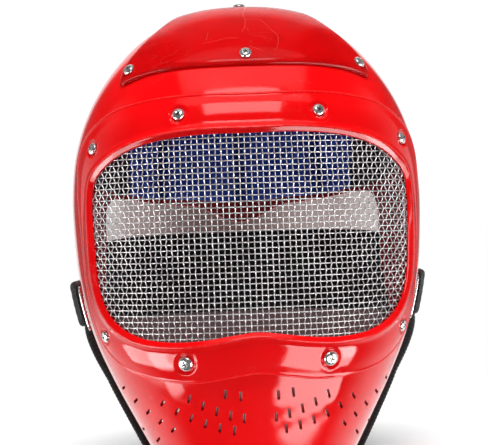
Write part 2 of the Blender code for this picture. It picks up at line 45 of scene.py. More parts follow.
# ---------------------------------------------------------------- Shell
# One injection moulding of glossy red plastic, 3 mm thick: crown, cheeks, jaw and chin.
# The window and the 40 chin slots are punched through it, and its free rims are rounded.

MM = 0.001
WALL = 3.0
RIM_ROUND = 0.9
# Columns: z, half_width, front, back.
SECTIONS = (
    (-12, 58, 94, 98),
    (0, 65, 98, 102),
    (30, 81, 105.5, 110),
    (60, 96, 112.5, 114),
    (89, 108, 116.5, 117),
    (117, 115, 117.5, 119.5),
    (141, 118.3, 116.5, 121),
    (178, 120, 113, 122),
    (203, 118.3, 109.5, 120.5),
    (225, 113.3, 105, 116.5),
    (245, 105.2, 98, 109),
    (262, 95, 89, 98.5),
    (278, 82, 76.5, 85),
    (290, 69, 63.5, 71.5),
    (299, 55, 49.5, 57),
    (305.5, 37, 33, 38.5),
    (309.3, 0, 0, 0),
)
FOOT = SECTIONS[0][0]
APEX = SECTIONS[-1][0]
FRONT_SQUARENESS = 2.3
BACK_SQUARENESS = 2.6
# The rear edge from the foot of the jaw up behind the ear and along the crown's rim, as (y, z).
REAR_EDGE = (
    (16, 0),
    (19, 30),
    (25, 60),
    (36, 84),
    (53, 101),
    (69, 122),
    (77, 150),
    (79.5, 172),
    (86, 184),
    (97, 185),
    (108, 182.5),
    (119, 178.5),
)
NAPE_TONGUE = {"half_width": 40.0, "drop": 13.5, "root": 95.0, "run": 18.0}
SHELL_COLUMNS = 288
SHELL_ROWS = 150
INNER_ROW_STEP = 3


def smooth_through(xs, ys, x):
    """The value at x of a smooth curve through (xs, ys) that never overshoots a row."""
    gaps = [b - a for a, b in zip(xs, xs[1:])]
    slopes = [(b - a) / gap for a, b, gap in zip(ys, ys[1:], gaps)]
    tangents = [slopes[0]]
    for i in range(1, len(slopes)):
        if slopes[i - 1] * slopes[i] > 0:
            early = 2 * gaps[i] + gaps[i - 1]
            late = gaps[i] + 2 * gaps[i - 1]
            tangents.append((early + late) / (early / slopes[i - 1] + late / slopes[i]))
        else:
            tangents.append(0.0)
    tangents.append(slopes[-1])
    i = max(0, min(len(gaps) - 1, sum(1 for row in xs if row <= x) - 1))
    t = (x - xs[i]) / gaps[i]
    rise = t * t * (3 - 2 * t)
    start = t * (1 - t) ** 2 * gaps[i] * tangents[i]
    end = t * t * (t - 1) * gaps[i] * tangents[i + 1]
    return ys[i] * (1 - rise) + ys[i + 1] * rise + start + end


def spline(points, steps, closed):
    """A smooth curve through 2D points, with `steps` samples between each two."""
    points = [Vector(point) for point in points]
    if closed:
        padded = [points[-1]] + points + points[:2]
    else:
        padded = [points[0] * 2 - points[1]] + points + [points[-1] * 2 - points[-2]]
    curve = []
    for a, b, c, d in zip(padded, padded[1:], padded[2:], padded[3:]):
        for step in range(steps):
            t = step / steps
            bend = (2 * a - 5 * b + 4 * c - d) * t**2 + (3 * b - a - 3 * c + d) * t**3
            curve.append((2 * b + (c - a) * t + bend) / 2)
    return curve if closed else curve + [points[-1]]


def evened(values, reach):
    """Each value averaged with `reach` neighbours on either side, and with fewer near the ends."""
    at = np.arange(len(values))
    near = np.minimum(np.minimum(at, len(values) - 1 - at), reach)
    sums = np.concatenate(([0.0], np.cumsum(values)))
    return (sums[at + near + 1] - sums[at - near]) / (2 * near + 1)


# The sections' half width, front and back, squared, at levels half a millimetre apart.
FINE_COUNT = 644
FINE_REACH = 9
FINE_STEP = (APEX - FOOT) / (FINE_COUNT - 1)
FINE_SQUARES = []
for _column in (1, 2, 3):
    _rows = [row[_column] ** 2 for row in SECTIONS]
    _zs = [row[0] for row in SECTIONS]
    _fine = [smooth_through(_zs, _rows, z) for z in np.linspace(FOOT, APEX, FINE_COUNT)]
    FINE_SQUARES.append(list(evened(evened(_fine, FINE_REACH), FINE_REACH)))


def section_at(z):
    """(half_width, front, back) of the shell's outer face at a level."""
    at = min(max((z - FOOT) / FINE_STEP, 0.0), FINE_COUNT - 1.02)
    i = int(at)
    t = at - i
    return [math.sqrt(max(1e-6, row[i] * (1 - t) + row[i + 1] * t)) for row in FINE_SQUARES]


def face_value(x, y, z):
    """Under 1 inside the outer face, 1 on it and over 1 outside."""
    half_width, front, back = section_at(z)
    depth, power = (front, FRONT_SQUARENESS) if y < 0 else (back, BACK_SQUARENESS)
    return (abs(x) / half_width) ** power + (abs(y) / depth) ** power


def outward(x, y, z):
    """The outer face's normal at a point on it."""
    step = 0.4
    across = face_value(x + step, y, z) - face_value(x - step, y, z)
    ahead = face_value(x, y + step, z) - face_value(x, y - step, z)
    up = face_value(x, y, z + step) - face_value(x, y, z - step)
    normal = Vector((across, ahead, up))
    return normal.normalized() if normal.length > 1e-9 else Vector((0, 0, 1))


def lifted(x, y, z, lift):
    """A point of the outer face, moved out along its normal."""
    point = Vector((x, y, z))
    return point + lift * outward(x, y, z) if lift else point


def ring_point(angle, z, lift=0.0):
    """A point of the outer face by its angle from the front, in degrees, and its level."""
    half_width, front, back = section_at(z)
    side, ahead = math.sin(math.radians(angle)), math.cos(math.radians(angle))
    depth, power = (-front, FRONT_SQUARENESS) if ahead > 0 else (back, BACK_SQUARENESS)
    x = math.copysign(abs(side) ** (2 / power), side) * half_width
    y = abs(ahead) ** (2 / power) * depth
    return lifted(x, y, z, lift)


def front_point(x, z, lift=0.0):
    """A point of the outer face straight behind (x, z) as seen from the front."""
    half_width, front, _ = section_at(z)
    share = min(1.0, abs(x) / half_width)
    y = -front * (1 - share**FRONT_SQUARENESS) ** (1 / FRONT_SQUARENESS)
    return lifted(x, y, z, lift)


def extruded_ring(mesh_data, ring):
    """A second ring of vertices joined to the first by new faces, in the same order."""
    edges = [mesh_data.edges.get((a, b)) for a, b in zip(ring, ring[1:] + ring[:1])]
    made = bmesh.ops.extrude_edge_only(mesh_data, edges=edges)["geom"]
    fresh = {item for item in made if isinstance(item, bmesh.types.BMVert)}
    return [next(edge.other_vert(v) for edge in v.link_edges if edge.other_vert(v) in fresh) for v in ring]


def loft(rings, closed=False, name="UVMap"):
    """A skin through matching rings of points, from a circle extruded ring by ring. Its UV map is in
    millimetres, along the rings and then around them. A closed one ends on its first ring."""
    if closed:
        rings = rings + [rings[0]]
    mesh_data = bmesh.new()
    count = len(rings[0])
    loops = [bmesh.ops.create_circle(mesh_data, segments=count, radius=1)["verts"]]
    for _ in rings[1:]:
        loops.append(extruded_ring(mesh_data, loops[-1]))
    place = {}
    run = [0.0] * count
    for i, (loop, ring) in enumerate(zip(loops, rings)):
        around = 0.0
        for j, (vert, point) in enumerate(zip(loop, ring)):
            vert.co = point
            if i:
                run[j] += (Vector(point) - Vector(rings[i - 1][j])).length
            if j:
                around += (Vector(point) - Vector(ring[j - 1])).length
            place[vert] = (j, run[j], around)
        place[loop[0]] += (around + (Vector(ring[0]) - Vector(ring[-1])).length,)
    layer = mesh_data.loops.layers.uv.new(name)
    for face in mesh_data.faces:
        wraps = any(place[vert][0] == count - 1 for vert in face.verts)
        for corner in face.loops:
            j, along, around = place[corner.vert][:3]
            if j == 0 and wraps:
                around = place[corner.vert][3]
            corner[layer].uv = (along, around)
    return mesh_data


def capped(mesh_data):
    """Closes the open ends of a mesh."""
    rims = [edge for edge in mesh_data.edges if edge.is_boundary]
    bmesh.ops.holes_fill(mesh_data, edges=rims, sides=0)
    return mesh_data


def marked_rings(mesh_data, mark, shares, count):
    """Marks whole rings of a loft for its material, by {ring: share}, with `count` points a ring."""
    layer = mesh_data.verts.layers.float.new(mark)
    mesh_data.verts.ensure_lookup_table()
    for row, share in shares.items():
        for i in range(count):
            mesh_data.verts[row * count + i][layer] = share


def as_mesh(name, mesh_data):
    """Ends a bmesh as a mesh."""
    mesh = bpy.data.meshes.new(name)
    mesh_data.to_mesh(mesh)
    mesh_data.free()
    return mesh


def as_bmesh(mesh):
    """A bmesh of a mesh."""
    mesh_data = bmesh.new()
    mesh_data.from_mesh(mesh)
    return mesh_data


def in_scene(name, data):
    """A new object in the scene."""
    made = bpy.data.objects.new(name, data)
    bpy.context.scene.collection.objects.link(made)
    return made


def in_metres(name, mesh_data):
    """Ends a closed bmesh in millimetres as a mesh in metres, its faces outward."""
    bmesh.ops.recalc_face_normals(mesh_data, faces=mesh_data.faces)
    bmesh.ops.scale(mesh_data, vec=(MM, MM, MM), verts=mesh_data.verts)
    return as_mesh(name, mesh_data)


def smoothed(mesh, sharp):
    """Shades a mesh smooth, with an edge kept sharp where it bends by more than `sharp` degrees."""
    mesh.shade_smooth()
    mesh.set_sharp_from_angle(angle=math.radians(sharp))


def finished(name, mesh_data, finish, slot, *nodes, sharp=40):
    """Makes a bmesh in millimetres an object in metres, which rides on the mask, takes its finish
    and stands for its solids. The slot is not used."""
    piece = in_scene(name, in_metres(name, mesh_data))
    piece.data.materials.append(finish)
    smoothed(piece.data, sharp)
    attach(piece, "root")
    if nodes:
        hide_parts(*nodes)
    return piece


def applied(piece):
    """Bakes a piece's modifiers into its mesh."""
    graph = bpy.context.evaluated_depsgraph_get()
    shaped = bpy.data.meshes.new_from_object(piece.evaluated_get(graph))
    piece.modifiers.clear()
    piece.data = shaped


def cut_away(piece, cutters, sharp=40):
    """Cuts a bmesh in millimetres out of a finished piece."""
    tool = in_scene("cutters", in_metres("cutters", cutters))
    modifier = piece.modifiers.new("cut", "BOOLEAN")
    modifier.operation = "DIFFERENCE"
    modifier.solver = "EXACT"
    modifier.object = tool
    applied(piece)
    bpy.data.objects.remove(tool, do_unlink=True)
    smoothed(piece.data, sharp)


def add_node(tree, kind, inputs=None, **properties):
    """A new node with its properties set, and its inputs set or linked."""
    made = tree.nodes.new(kind)
    for key, value in properties.items():
        setattr(made, key, value)
    for key, value in (inputs or {}).items():
        if isinstance(value, bpy.types.NodeSocket):
            tree.links.new(value, made.inputs[key])
        else:
            made.inputs[key].default_value = value
    return made


def maths(tree, operation, a, b=0.0, c=0.0):
    """One step of arithmetic on numbers or sockets."""
    return add_node(tree, "ShaderNodeMath", {0: a, 1: b, 2: c}, operation=operation).outputs[0]


def product(tree, *values):
    """Several values multiplied."""
    total = values[0]
    for value in values[1:]:
        total = maths(tree, "MULTIPLY", total, value)
    return total


def ramp(tree, value, low, high, to_low=0.0, to_high=1.0):
    """A value eased from one range to another, and held at its ends."""
    ranges = {"From Min": low, "From Max": high, "To Min": to_low, "To Max": to_high}
    made = add_node(tree, "ShaderNodeMapRange", {"Value": value, **ranges}, interpolation_type="SMOOTHSTEP")
    return made.outputs["Result"]


def object_place(tree):
    """Where a point lies on the mask, in metres."""
    return add_node(tree, "ShaderNodeTexCoord").outputs["Object"]


def clouds(tree, place, scale, detail=2.0, roughness=0.5):
    """A soft random pattern, finer for a larger scale."""
    inputs = {"Vector": place, "Scale": scale, "Detail": detail, "Roughness": roughness}
    return add_node(tree, "ShaderNodeTexNoise", inputs).outputs[0]


def mark(tree, name):
    """A mark that the mesh's points carry, such as rubbed, or painted shade."""
    return add_node(tree, "ShaderNodeAttribute", attribute_name=name).outputs["Fac"]


def new_group(name, inputs, outputs):
    """An empty shader group with named sockets, given as {name: default} and {name: kind}."""
    tree = bpy.data.node_groups.new(name, "ShaderNodeTree")
    for key, value in inputs.items():
        socket = tree.interface.new_socket(name=key, in_out="INPUT", socket_type="NodeSocketFloat")
        socket.default_value = value
    for key, kind in outputs.items():
        tree.interface.new_socket(name=key, in_out="OUTPUT", socket_type=kind)
    return tree, tree.nodes.new("NodeGroupInput"), tree.nodes.new("NodeGroupOutput")


def new_material(name, shader):
    """A material and its tree, with constants set on the shader's own sockets."""
    made = bpy.data.materials.new(name)
    made.use_nodes = True
    surface = made.node_tree.nodes["Principled BSDF"]
    for key, value in shader.items():
        surface.inputs[key].default_value = value
    return made, made.node_tree, surface


def feed(tree, shader, patterns):
    """Links patterns to a shader's own sockets."""
    for key, value in patterns.items():
        tree.links.new(value, shader.inputs[key])


def embossed(tree, height, distance, strength=1.0):
    """The normal of a surface raised by a height of 1 for each `distance`, in metres."""
    inputs = {"Height": height, "Distance": distance, "Strength": strength}
    return add_node(tree, "ShaderNodeBump", inputs).outputs[0]


def mixed(tree, share, first, second):
    """One colour or the other, by a share that is a number or a socket."""
    made = add_node(tree, "ShaderNodeMix", data_type="RGBA")
    for socket, value in ((made.inputs[0], share), (made.inputs[6], first), (made.inputs[7], second)):
        if isinstance(value, bpy.types.NodeSocket):
            tree.links.new(value, socket)
        else:
            socket.default_value = value
    return made.outputs[2]


# Faint marks that a hard moulding collects: a slow waviness from cooling, a fine grain, hair scratches
# and specks of dust. Height is in millimetres.
MARKS, _given, _out = new_group(
    "surface_marks",
    {"Waviness": 0.1, "Grain": 0.002, "Scratches": 0.3, "Dust": 0.3},
    {"Height": "NodeSocketFloat", "Scratches": "NodeSocketFloat", "Dust": "NodeSocketFloat"},
)
_place = object_place(MARKS)
_wave = clouds(MARKS, _place, 17.0, 1.0, 0.4)
_peel = clouds(MARKS, _place, 900.0, 1.0)
_worn = clouds(MARKS, _place, 26.0)
# Three sets of hair scratches, each with its own direction, stretched along one axis.
_lines = []
for _turn, _scale in (
    ((0.3, 0.2, 0.9), (60, 9, 60)),
    ((0.9, 1.1, 0.1), (11, 70, 60)),
    ((0.2, 0.7, 2.2), (80, 80, 10)),
):
    _spot = add_node(MARKS, "ShaderNodeMapping", {"Vector": _place, "Rotation": _turn, "Scale": _scale})
    _hair = clouds(MARKS, _spot.outputs[0], 1.0, 1.0)
    _off = maths(MARKS, "ABSOLUTE", maths(MARKS, "SUBTRACT", _hair, 0.5))
    _lines.append(ramp(MARKS, _off, 0.0, 0.0035, 1.0, 0.0))
_line = maths(MARKS, "MAXIMUM", maths(MARKS, "MAXIMUM", _lines[0], _lines[1]), _lines[2])
_line = product(MARKS, _line, ramp(MARKS, _worn, 0.50, 0.66), _given.outputs["Scratches"])
_speck = add_node(MARKS, "ShaderNodeTexVoronoi", {"Vector": _place, "Scale": 260.0}).outputs["Distance"]
_speck = ramp(MARKS, _speck, 0.03, 0.10, 1.0, 0.0)
_speck_on = ramp(MARKS, clouds(MARKS, _place, 90.0), 0.58, 0.66)
_speck = product(MARKS, _speck, _speck_on, _given.outputs["Dust"])
_high = maths(MARKS, "MULTIPLY", _wave, _given.outputs["Waviness"])
_high = maths(MARKS, "MULTIPLY_ADD", _peel, _given.outputs["Grain"], _high)
_high = maths(MARKS, "MULTIPLY_ADD", _line, -0.012, _high)
feed(MARKS, _out, {"Height": _high, "Scratches": _line, "Dust": _speck})


def red_moulding(name, waviness, scratches):
    """Glossy red plastic, self-coloured, a little paler where it is scratched or rubbed at an edge, and
    darkened with painted shade where it is so marked.
    """
    made, tree, surface = new_material(name, {"IOR": 1.5, "Coat Weight": 0.0, "Specular IOR Level": 0.5})
    place = object_place(tree)
    marks = add_node(tree, "ShaderNodeGroup", {"Waviness": waviness, "Scratches": scratches}, node_tree=MARKS)
    cloudy = clouds(tree, place, 22.0, 3.0)
    broken = ramp(tree, clouds(tree, place, 240.0, 3.0), 0.42, 0.62, 0.25, 1.0)
    rubbed = maths(tree, "MULTIPLY", mark(tree, "rubbed"), broken)
    colour = mixed(tree, ramp(tree, cloudy, 0.3, 0.7), (0.80, 0.003, 0.004, 1), (0.88, 0.004, 0.006, 1))
    rough = maths(tree, "MULTIPLY_ADD", ramp(tree, cloudy, 0.35, 0.75), 0.035, 0.085)
    # Columns: where it shows, share and colour of the paler or darker red, and how much rougher.
    for where, share, tone, rougher in (
        (rubbed, 0.45, (0.92, 0.08, 0.075, 1), 0.14),
        (marks.outputs["Scratches"], 0.5, (0.86, 0.16, 0.14, 1), 0.25),
        (marks.outputs["Dust"], 0.5, (0.75, 0.45, 0.42, 1), 0.4),
        # Painted shade: where marked, the red turns near black.
        (mark(tree, "painted_shade"), 0.94, (0.030, 0.006, 0.009, 1), 0.5),
    ):
        colour = mixed(tree, maths(tree, "MULTIPLY", where, share), colour, tone)
        rough = maths(tree, "MULTIPLY_ADD", where, rougher, rough)
    normal = embossed(tree, marks.outputs["Height"], MM)
    feed(tree, surface, {"Base Color": colour, "Roughness": rough, "Normal": normal})
    return made


# Columns: outer_x, outer_z, inner_x, inner_z, sag, count, outer_lean, inner_lean.
CHIN_SLOT_ROWS = (
    (88, 56.5, 55.8, 31, 2.0, 5, 38, 34),
    (76, 27.5, 66, 22.5, 0.0, 2, 34, 32),
    (62, 49, 16.6, 31.4, 2.6, 6, 30, 4),
    (44.7, 52.4, 10.2, 39.3, 1.8, 5, 16, 2),
    (21.6, 55, 12, 53.6, 0.0, 2, 6, 2),
)
SLOT_WIDTH = 1.7
SLOT_LENGTH = 6.4
SLOT_CHAMFER = 0.15
SLOT_DRAFT = 0.58
SLOT_CORNER = 0.6
SLOT_DENT = {"depth": 0.16, "reach": 4.2}
# No slot lies further back or higher up than this.
SLOTS_BACK = -20
SLOTS_TOP = 75

slot_places = []
for outer_x, outer_z, inner_x, inner_z, sag, count, outer_lean, inner_lean in CHIN_SLOT_ROWS:
    for t in [i / (count - 1) for i in range(count)]:
        x = outer_x + (inner_x - outer_x) * t
        z = outer_z + (inner_z - outer_z) * t - sag * 4 * t * (1 - t)
        lean = outer_lean + (inner_lean - outer_lean) * t
        for hand in (1, -1):
            base = front_point(hand * x, z)
            out = outward(*base)
            up = Vector((-math.sin(math.radians(hand * lean)), 0, math.cos(math.radians(lean))))
            up.y = -up.dot(out) / out.y
            # A slot is longer where the chin turns away, so that it looks as long from the front.
            length = SLOT_LENGTH * min(max(up.length / 1.5, 1), 1.6)
            along = up.normalized()
            turn = Matrix((out.cross(along), along, out)).transposed().to_4x4()
            slot_places.append((base, length, Matrix.Translation(base) @ turn))

# The shell's rear edge as its level at each angle from the front.
_edge = []
for y, z in spline(REAR_EDGE, 12, closed=False):
    _back = section_at(z)[2]
    _edge.append((180 - math.degrees(math.acos(min(1.0, (y / _back) ** (BACK_SQUARENESS / 2)))), z))
EDGE_ANGLES = [angle for angle, _ in _edge]
EDGE_LEVELS = [z for _, z in _edge]


def rim_level(angle):
    """The level where the shell ends below an angle from the front: on the floor, up the rear edge of
    the jaw, or along the crown's rim with its nape tongue."""
    if angle < EDGE_ANGLES[0]:
        return RIM_ROUND
    z = float(np.interp(angle, EDGE_ANGLES, EDGE_LEVELS))
    here = ring_point(angle, z)
    if abs(here.x) < NAPE_TONGUE["half_width"]:
        swell = math.cos(math.pi * here.x / (2 * NAPE_TONGUE["half_width"])) ** 2
        back = min(1.0, max(0.0, (here.y - NAPE_TONGUE["root"]) / NAPE_TONGUE["run"]))
        z -= NAPE_TONGUE["drop"] * swell * back
    return max(z, RIM_ROUND)


def evenly(stations, weights, count):
    """`count` values that divide a fine list of stations into runs of equal summed weight."""
    run = np.concatenate(([0.0], np.cumsum(weights)))
    return np.interp(np.linspace(0.0, run[-1], count), run, stations)


# The columns stand evenly round the shell, and closer where its rim climbs.
CHEEK_LEVEL = 120.0
CLIMB_WEIGHT = 0.45
_fine = np.linspace(0.0, 180.0, 1801)
_waist = [ring_point(angle, CHEEK_LEVEL) for angle in _fine]
_rims = [rim_level(angle) for angle in _fine]
_steps = []
for a, b, low, high in zip(_waist, _waist[1:], _rims, _rims[1:]):
    _steps.append(math.hypot((b - a).length, CLIMB_WEIGHT * (high - low)))
half_angles = evenly(_fine, _steps, SHELL_COLUMNS // 2 + 1)

columns = []
for angle in half_angles:
    low = rim_level(angle)
    levels = APEX - (APEX - low) * (1 - np.cos(np.linspace(0.0, math.pi / 2, 200)))
    points = [ring_point(angle, z) for z in levels]
    points[0] = Vector((0.0, 0.0, APEX))
    lengths = [(b - a).length for a, b in zip(points, points[1:])]
    columns.append(evenly(levels, lengths, SHELL_ROWS + 1))


def around_shell(make):
    """A ring round the shell from a function of (column, angle), mirrored to the left."""
    right = [make(i, angle) for i, angle in enumerate(half_angles)]
    left = [Vector((-point.x, point.y, point.z)) for point in right[-2:0:-1]]
    return right + left


def dented(point):
    """The outer face drawn in a little round each slot, as the punching leaves it."""
    if point.y > SLOTS_BACK or point.z > SLOTS_TOP:
        return point
    pull = 0.0
    for base, _, _ in slot_places:
        gap = (point - base).length_squared / SLOT_DENT["reach"] ** 2
        if gap < 4:
            pull = max(pull, math.exp(-gap))
    return point - outward(*point) * SLOT_DENT["depth"] * pull if pull else point


def around_rim(i, angle, past, lift):
    """A point of the rounded rim, `past` the edge and lifted from the outer face."""
    here = ring_point(angle, columns[i][-1])
    last = len(columns) - 1
    a, b = (ring_point(half_angles[k], columns[k][-1]) for k in (max(i - 1, 0), min(i + 1, last)))
    if i == 0:
        a = Vector((-b.x, b.y, b.z))
    if i == last:
        b = Vector((-a.x, a.y, a.z))
    out = outward(*here)
    away = (b - a).cross(out).normalized()
    # The rim looks down, or back where it runs upright.
    if away.z > 0.2 or (abs(away.z) <= 0.2 and away.y < 0):
        away.negate()
    return here + out * lift + away * past


shell_rings = [[Vector((0, 0, APEX))] * SHELL_COLUMNS]
for row in range(1, SHELL_ROWS + 1):
    shell_rings.append([dented(p) for p in around_shell(lambda i, angle: ring_point(angle, columns[i][row]))])
for outside, turns in ((True, (30, 60, 90)), (False, (90, 60, 30, 0))):
    for turn in turns:
        _past = RIM_ROUND * math.sin(math.radians(turn))
        _sunk = RIM_ROUND * (1 - math.cos(math.radians(turn)))
        _lift = -_sunk if outside else _sunk - WALL
        shell_rings.append(around_shell(lambda i, angle: around_rim(i, angle, _past, _lift)))
for row in range(SHELL_ROWS - INNER_ROW_STEP, 0, -INNER_ROW_STEP):
    shell_rings.append(around_shell(lambda i, angle: ring_point(angle, columns[i][row], -WALL)))
shell_rings.append([Vector((0, 0, APEX - WALL))] * SHELL_COLUMNS)

_shell = loft(shell_rings)
_rim_rows = range(SHELL_ROWS + 1, SHELL_ROWS + 5)
marked_rings(_shell, "rubbed", {row: 0.8 for row in _rim_rows}, SHELL_COLUMNS)
# The inside was left dull by the mould, and is darkened with painted shade.
_inner_rows = range(SHELL_ROWS + 6, len(shell_rings))
marked_rings(_shell, "painted_shade", {row: 0.55 for row in _inner_rows}, SHELL_COLUMNS)
bmesh.ops.remove_doubles(_shell, verts=_shell.verts, dist=0.004)
SHELL_RED = red_moulding("red_shell", waviness=0.10, scratches=0.35)
shell = finished("shell_moulding", _shell, SHELL_RED, "red_plastic", "shell")

# Window and frame stations, from the top middle to the bottom middle on the right.
# Columns: window_x, window_z, outer_x, outer_z.
FACE_STATIONS = (
    (0, 219.8, 0, 246),
    (30, 219.8, 34, 246.3),
    (55, 217.5, 62, 244.3),
    (74.5, 212.5, 86, 238.5),
    (89.5, 204, 103, 226),
    (98.8, 193, 110.2, 210),
    (101, 177, 111.4, 188),
    (100.4, 155, 109.9, 158),
    (98.8, 129, 107.6, 126),
    (94.5, 112, 103, 99),
    (85.5, 99.8, 94.5, 81.5),
    (71, 92.2, 80, 70),
    (52, 89.6, 58, 64.3),
    (33, 90.4, 38, 63),
    (16, 92.8, 18, 65.6),
    (0, 94.5, 0, 68),
)
CUT_STEPS = 4
WINDOW_MARGIN = 1.2
# The window's cutter runs from before the face to behind its wall, but stops short of the back.
WINDOW_CUT = (-160.0, -15.0)


def face_loops(steps):
    """Matching closed outlines of the window and of the frame's outer edge, as (x, z)."""
    left = [(-wx, wz, -ox, oz) for wx, wz, ox, oz in FACE_STATIONS[-2:0:-1]]
    both = list(FACE_STATIONS) + left
    window = spline([(wx, wz) for wx, wz, _, _ in both], steps, closed=True)
    outer = spline([(ox, oz) for _, _, ox, oz in both], steps, closed=True)
    return window, outer


def across_band(window, outer, inset, share_limit=1.0):
    """The outline that lies `inset` out from the window towards the frame's edge."""
    loop = []
    for near, far in zip(window, outer):
        reach = far - near
        loop.append(near + reach * min(inset / reach.length, share_limit))
    return loop


_window, _outer = face_loops(CUT_STEPS)
_hole = across_band(_window, _outer, WINDOW_MARGIN)
cutters = capped(loft([[Vector((x, y, z)) for x, z in _hole] for y in WINDOW_CUT]))
# A slot's outline as 12 points: the side that each lies on, and its way round the rounded corner.
_corner = []
for side_x, side_y, first in ((1, 1, 0), (-1, 1, 90), (-1, -1, 180), (1, -1, 270)):
    for turn in (0, 45, 90):
        angle = math.radians(first + turn)
        _corner.append((side_x, side_y, math.cos(angle), math.sin(angle)))
# The slot's levels from the inside out, each with how much wider it is than the throat.
SLOT_LEVELS = ((-4.2, -SLOT_DRAFT), (-0.45, 0.0), (0.1, SLOT_CHAMFER), (3.0, SLOT_CHAMFER))
for _, length, place in slot_places:
    tool = bmesh.new()
    loops = [bmesh.ops.create_circle(tool, segments=12, radius=1)["verts"]]
    for _ in SLOT_LEVELS[1:]:
        loops.append(extruded_ring(tool, loops[-1]))
    reach_x, reach_y = SLOT_WIDTH / 2 - SLOT_CORNER, length / 2 - SLOT_CORNER
    for ring, (level, wider) in zip(loops, SLOT_LEVELS):
        for vert, (side_x, side_y, c, s) in zip(ring, _corner):
            flat = Vector((side_x * reach_x + SLOT_CORNER * c, side_y * reach_y + SLOT_CORNER * s, level))
            vert.co = place @ (flat + Vector((c * wider, s * wider, 0)))
    capped(tool)
    for face in tool.faces:
        face.material_index = 1
    _mesh = as_mesh("slot", tool)
    cutters.from_mesh(_mesh)
    bpy.data.meshes.remove(_mesh)
# The cut walls take a second slot of the same finish, and are marked from it with painted shade.
shell.data.materials.append(SHELL_RED)
cut_away(shell, cutters)
_cut = as_bmesh(shell.data)
_painted_shade_layer = _cut.verts.layers.float["painted_shade"]
for vert in _cut.verts:
    if vert.link_faces and all(face.material_index == 1 for face in vert.link_faces):
        vert[_painted_shade_layer] = 1.0
for face in _cut.faces:
    face.material_index = 0
_cut.to_mesh(shell.data)
_cut.free()
shell.data.materials.pop(index=1)

# ---------------------------------------------------------------- Crown plate
# A second red moulding, 2.5 mm thick, that caps the crown. It stands on the shell and is held by
# four screws. Its edges have a rounded chamfer, and fine stress cracks run out from the front screw.

SEAT_GAP = 0.8
PLATE_THICKNESS = 2.5
# Rows from the front edge over the top and down the back. Columns: y_middle, y_edge, half_width.
CROWN_PLATE = (
    (-86.8, -62.8, 77.4),
    (-84.4, -59.2, 81.0),
    (-82.2, -54.6, 81.8),
    (-79, -47.6, 79.5),
    (-66, -41, 69),
    (-50, -35, 57),
    (-30, -20, 46),
    (-8, -2, 40),
    (20, 22, 38),
    (50, 50, 37),
    (74, 72, 36),
    (93, 89, 33),
)
PLATE_BOW = 2.3
# How the plate's top rises from its edge, as (inset, share of its thickness).
PLATE_EDGE = (
    (0.0, 0.0),
    (0.1, 0.24),
    (0.45, 0.46),
    (1.05, 0.65),
    (1.9, 0.81),
    (2.9, 0.92),
    (4.0, 0.98),
    (5.2, 1.0),
)
PLATE_COLUMNS = 72
PLATE_ROWS = 96
# The plate's rough width and run over the crown, by which its edge steps are sized.
PLATE_SPANS = (110.0, 250.0)
# The level where the shell is widest. The plate lies above it.
WIDEST = 178.0


def table_at(rows, x):
    """All the later columns of a table, smoothly read at x in its first column."""
    columns = list(zip(*rows))
    return [smooth_through(columns[0], column, x) for column in columns[1:]]


def crown_point(x, y, lift=0.0):
    """A point of the outer face straight below (x, y) as seen from above."""
    low, high = WIDEST, APEX
    for _ in range(40):
        z = (low + high) / 2
        low, high = (z, high) if face_value(x, y, z) < 1 else (low, z)
    return lifted(x, y, z, lift)


def plate_point(across, along, lift):
    """A point over the plate, from its side (-1 to 1) and its run from front to back (0 to 1)."""
    share = (1 - math.cos(math.pi * along)) / 2
    first = CROWN_PLATE[0][0]
    y_middle = first + (CROWN_PLATE[-1][0] - first) * share
    y_edge, half_width = table_at(CROWN_PLATE, y_middle)
    y = y_middle + (y_edge - y_middle) * abs(across) ** PLATE_BOW
    return crown_point(across * half_width, y, lift)


def inset_line(count, length):
    """Places from 0 to 1 along a line: the plate's edge steps at both ends, even steps between."""
    near = [inset / length for inset, _ in PLATE_EDGE]
    last = near[-1]
    steps = count - 2 * len(near) + 1
    middle = [last + (1 - 2 * last) * i / steps for i in range(1, steps)]
    return near + middle + [1 - at for at in reversed(near)]


_plate = bmesh.new()
bmesh.ops.create_grid(_plate, x_segments=PLATE_COLUMNS, y_segments=PLATE_ROWS, size=1)
_xs = sorted({round(vert.co.x, 5) for vert in _plate.verts})
_ys = sorted({round(vert.co.y, 5) for vert in _plate.verts})
_across = inset_line(len(_xs), PLATE_SPANS[0])
_along = inset_line(len(_ys), PLATE_SPANS[1])
_under = bmesh.ops.extrude_face_region(_plate, geom=list(_plate.faces))["geom"]
_under = {item for item in _under if isinstance(item, bmesh.types.BMVert)}
_rubbed = _plate.verts.layers.float.new("rubbed")
_rises = [rise for _, rise in PLATE_EDGE]
for vert in _plate.verts:
    i = min(range(len(_xs)), key=lambda k: abs(_xs[k] - vert.co.x))
    j = min(range(len(_ys)), key=lambda k: abs(_ys[k] - vert.co.y))
    _step = min(i, j, len(_xs) - 1 - i, len(_ys) - 1 - j, len(_rises) - 1)
    lift = SEAT_GAP if vert in _under else SEAT_GAP + PLATE_THICKNESS * _rises[_step]
    # The rows bunch at the ends of the run, so an inset there is measured back into it.
    run = math.acos(1 - 2 * min(1.0, max(0.0, _along[j]))) / math.pi
    vert.co = plate_point(2 * _across[i] - 1, run, lift)
    if vert not in _under and _step in (2, 3, 4):
        vert[_rubbed] = 0.2
PLATE_RED = red_moulding("red_crown_plate", waviness=0.09, scratches=0.6)
finished("crown_plate_moulding", _plate, PLATE_RED, "red_plastic", "crown_plate")

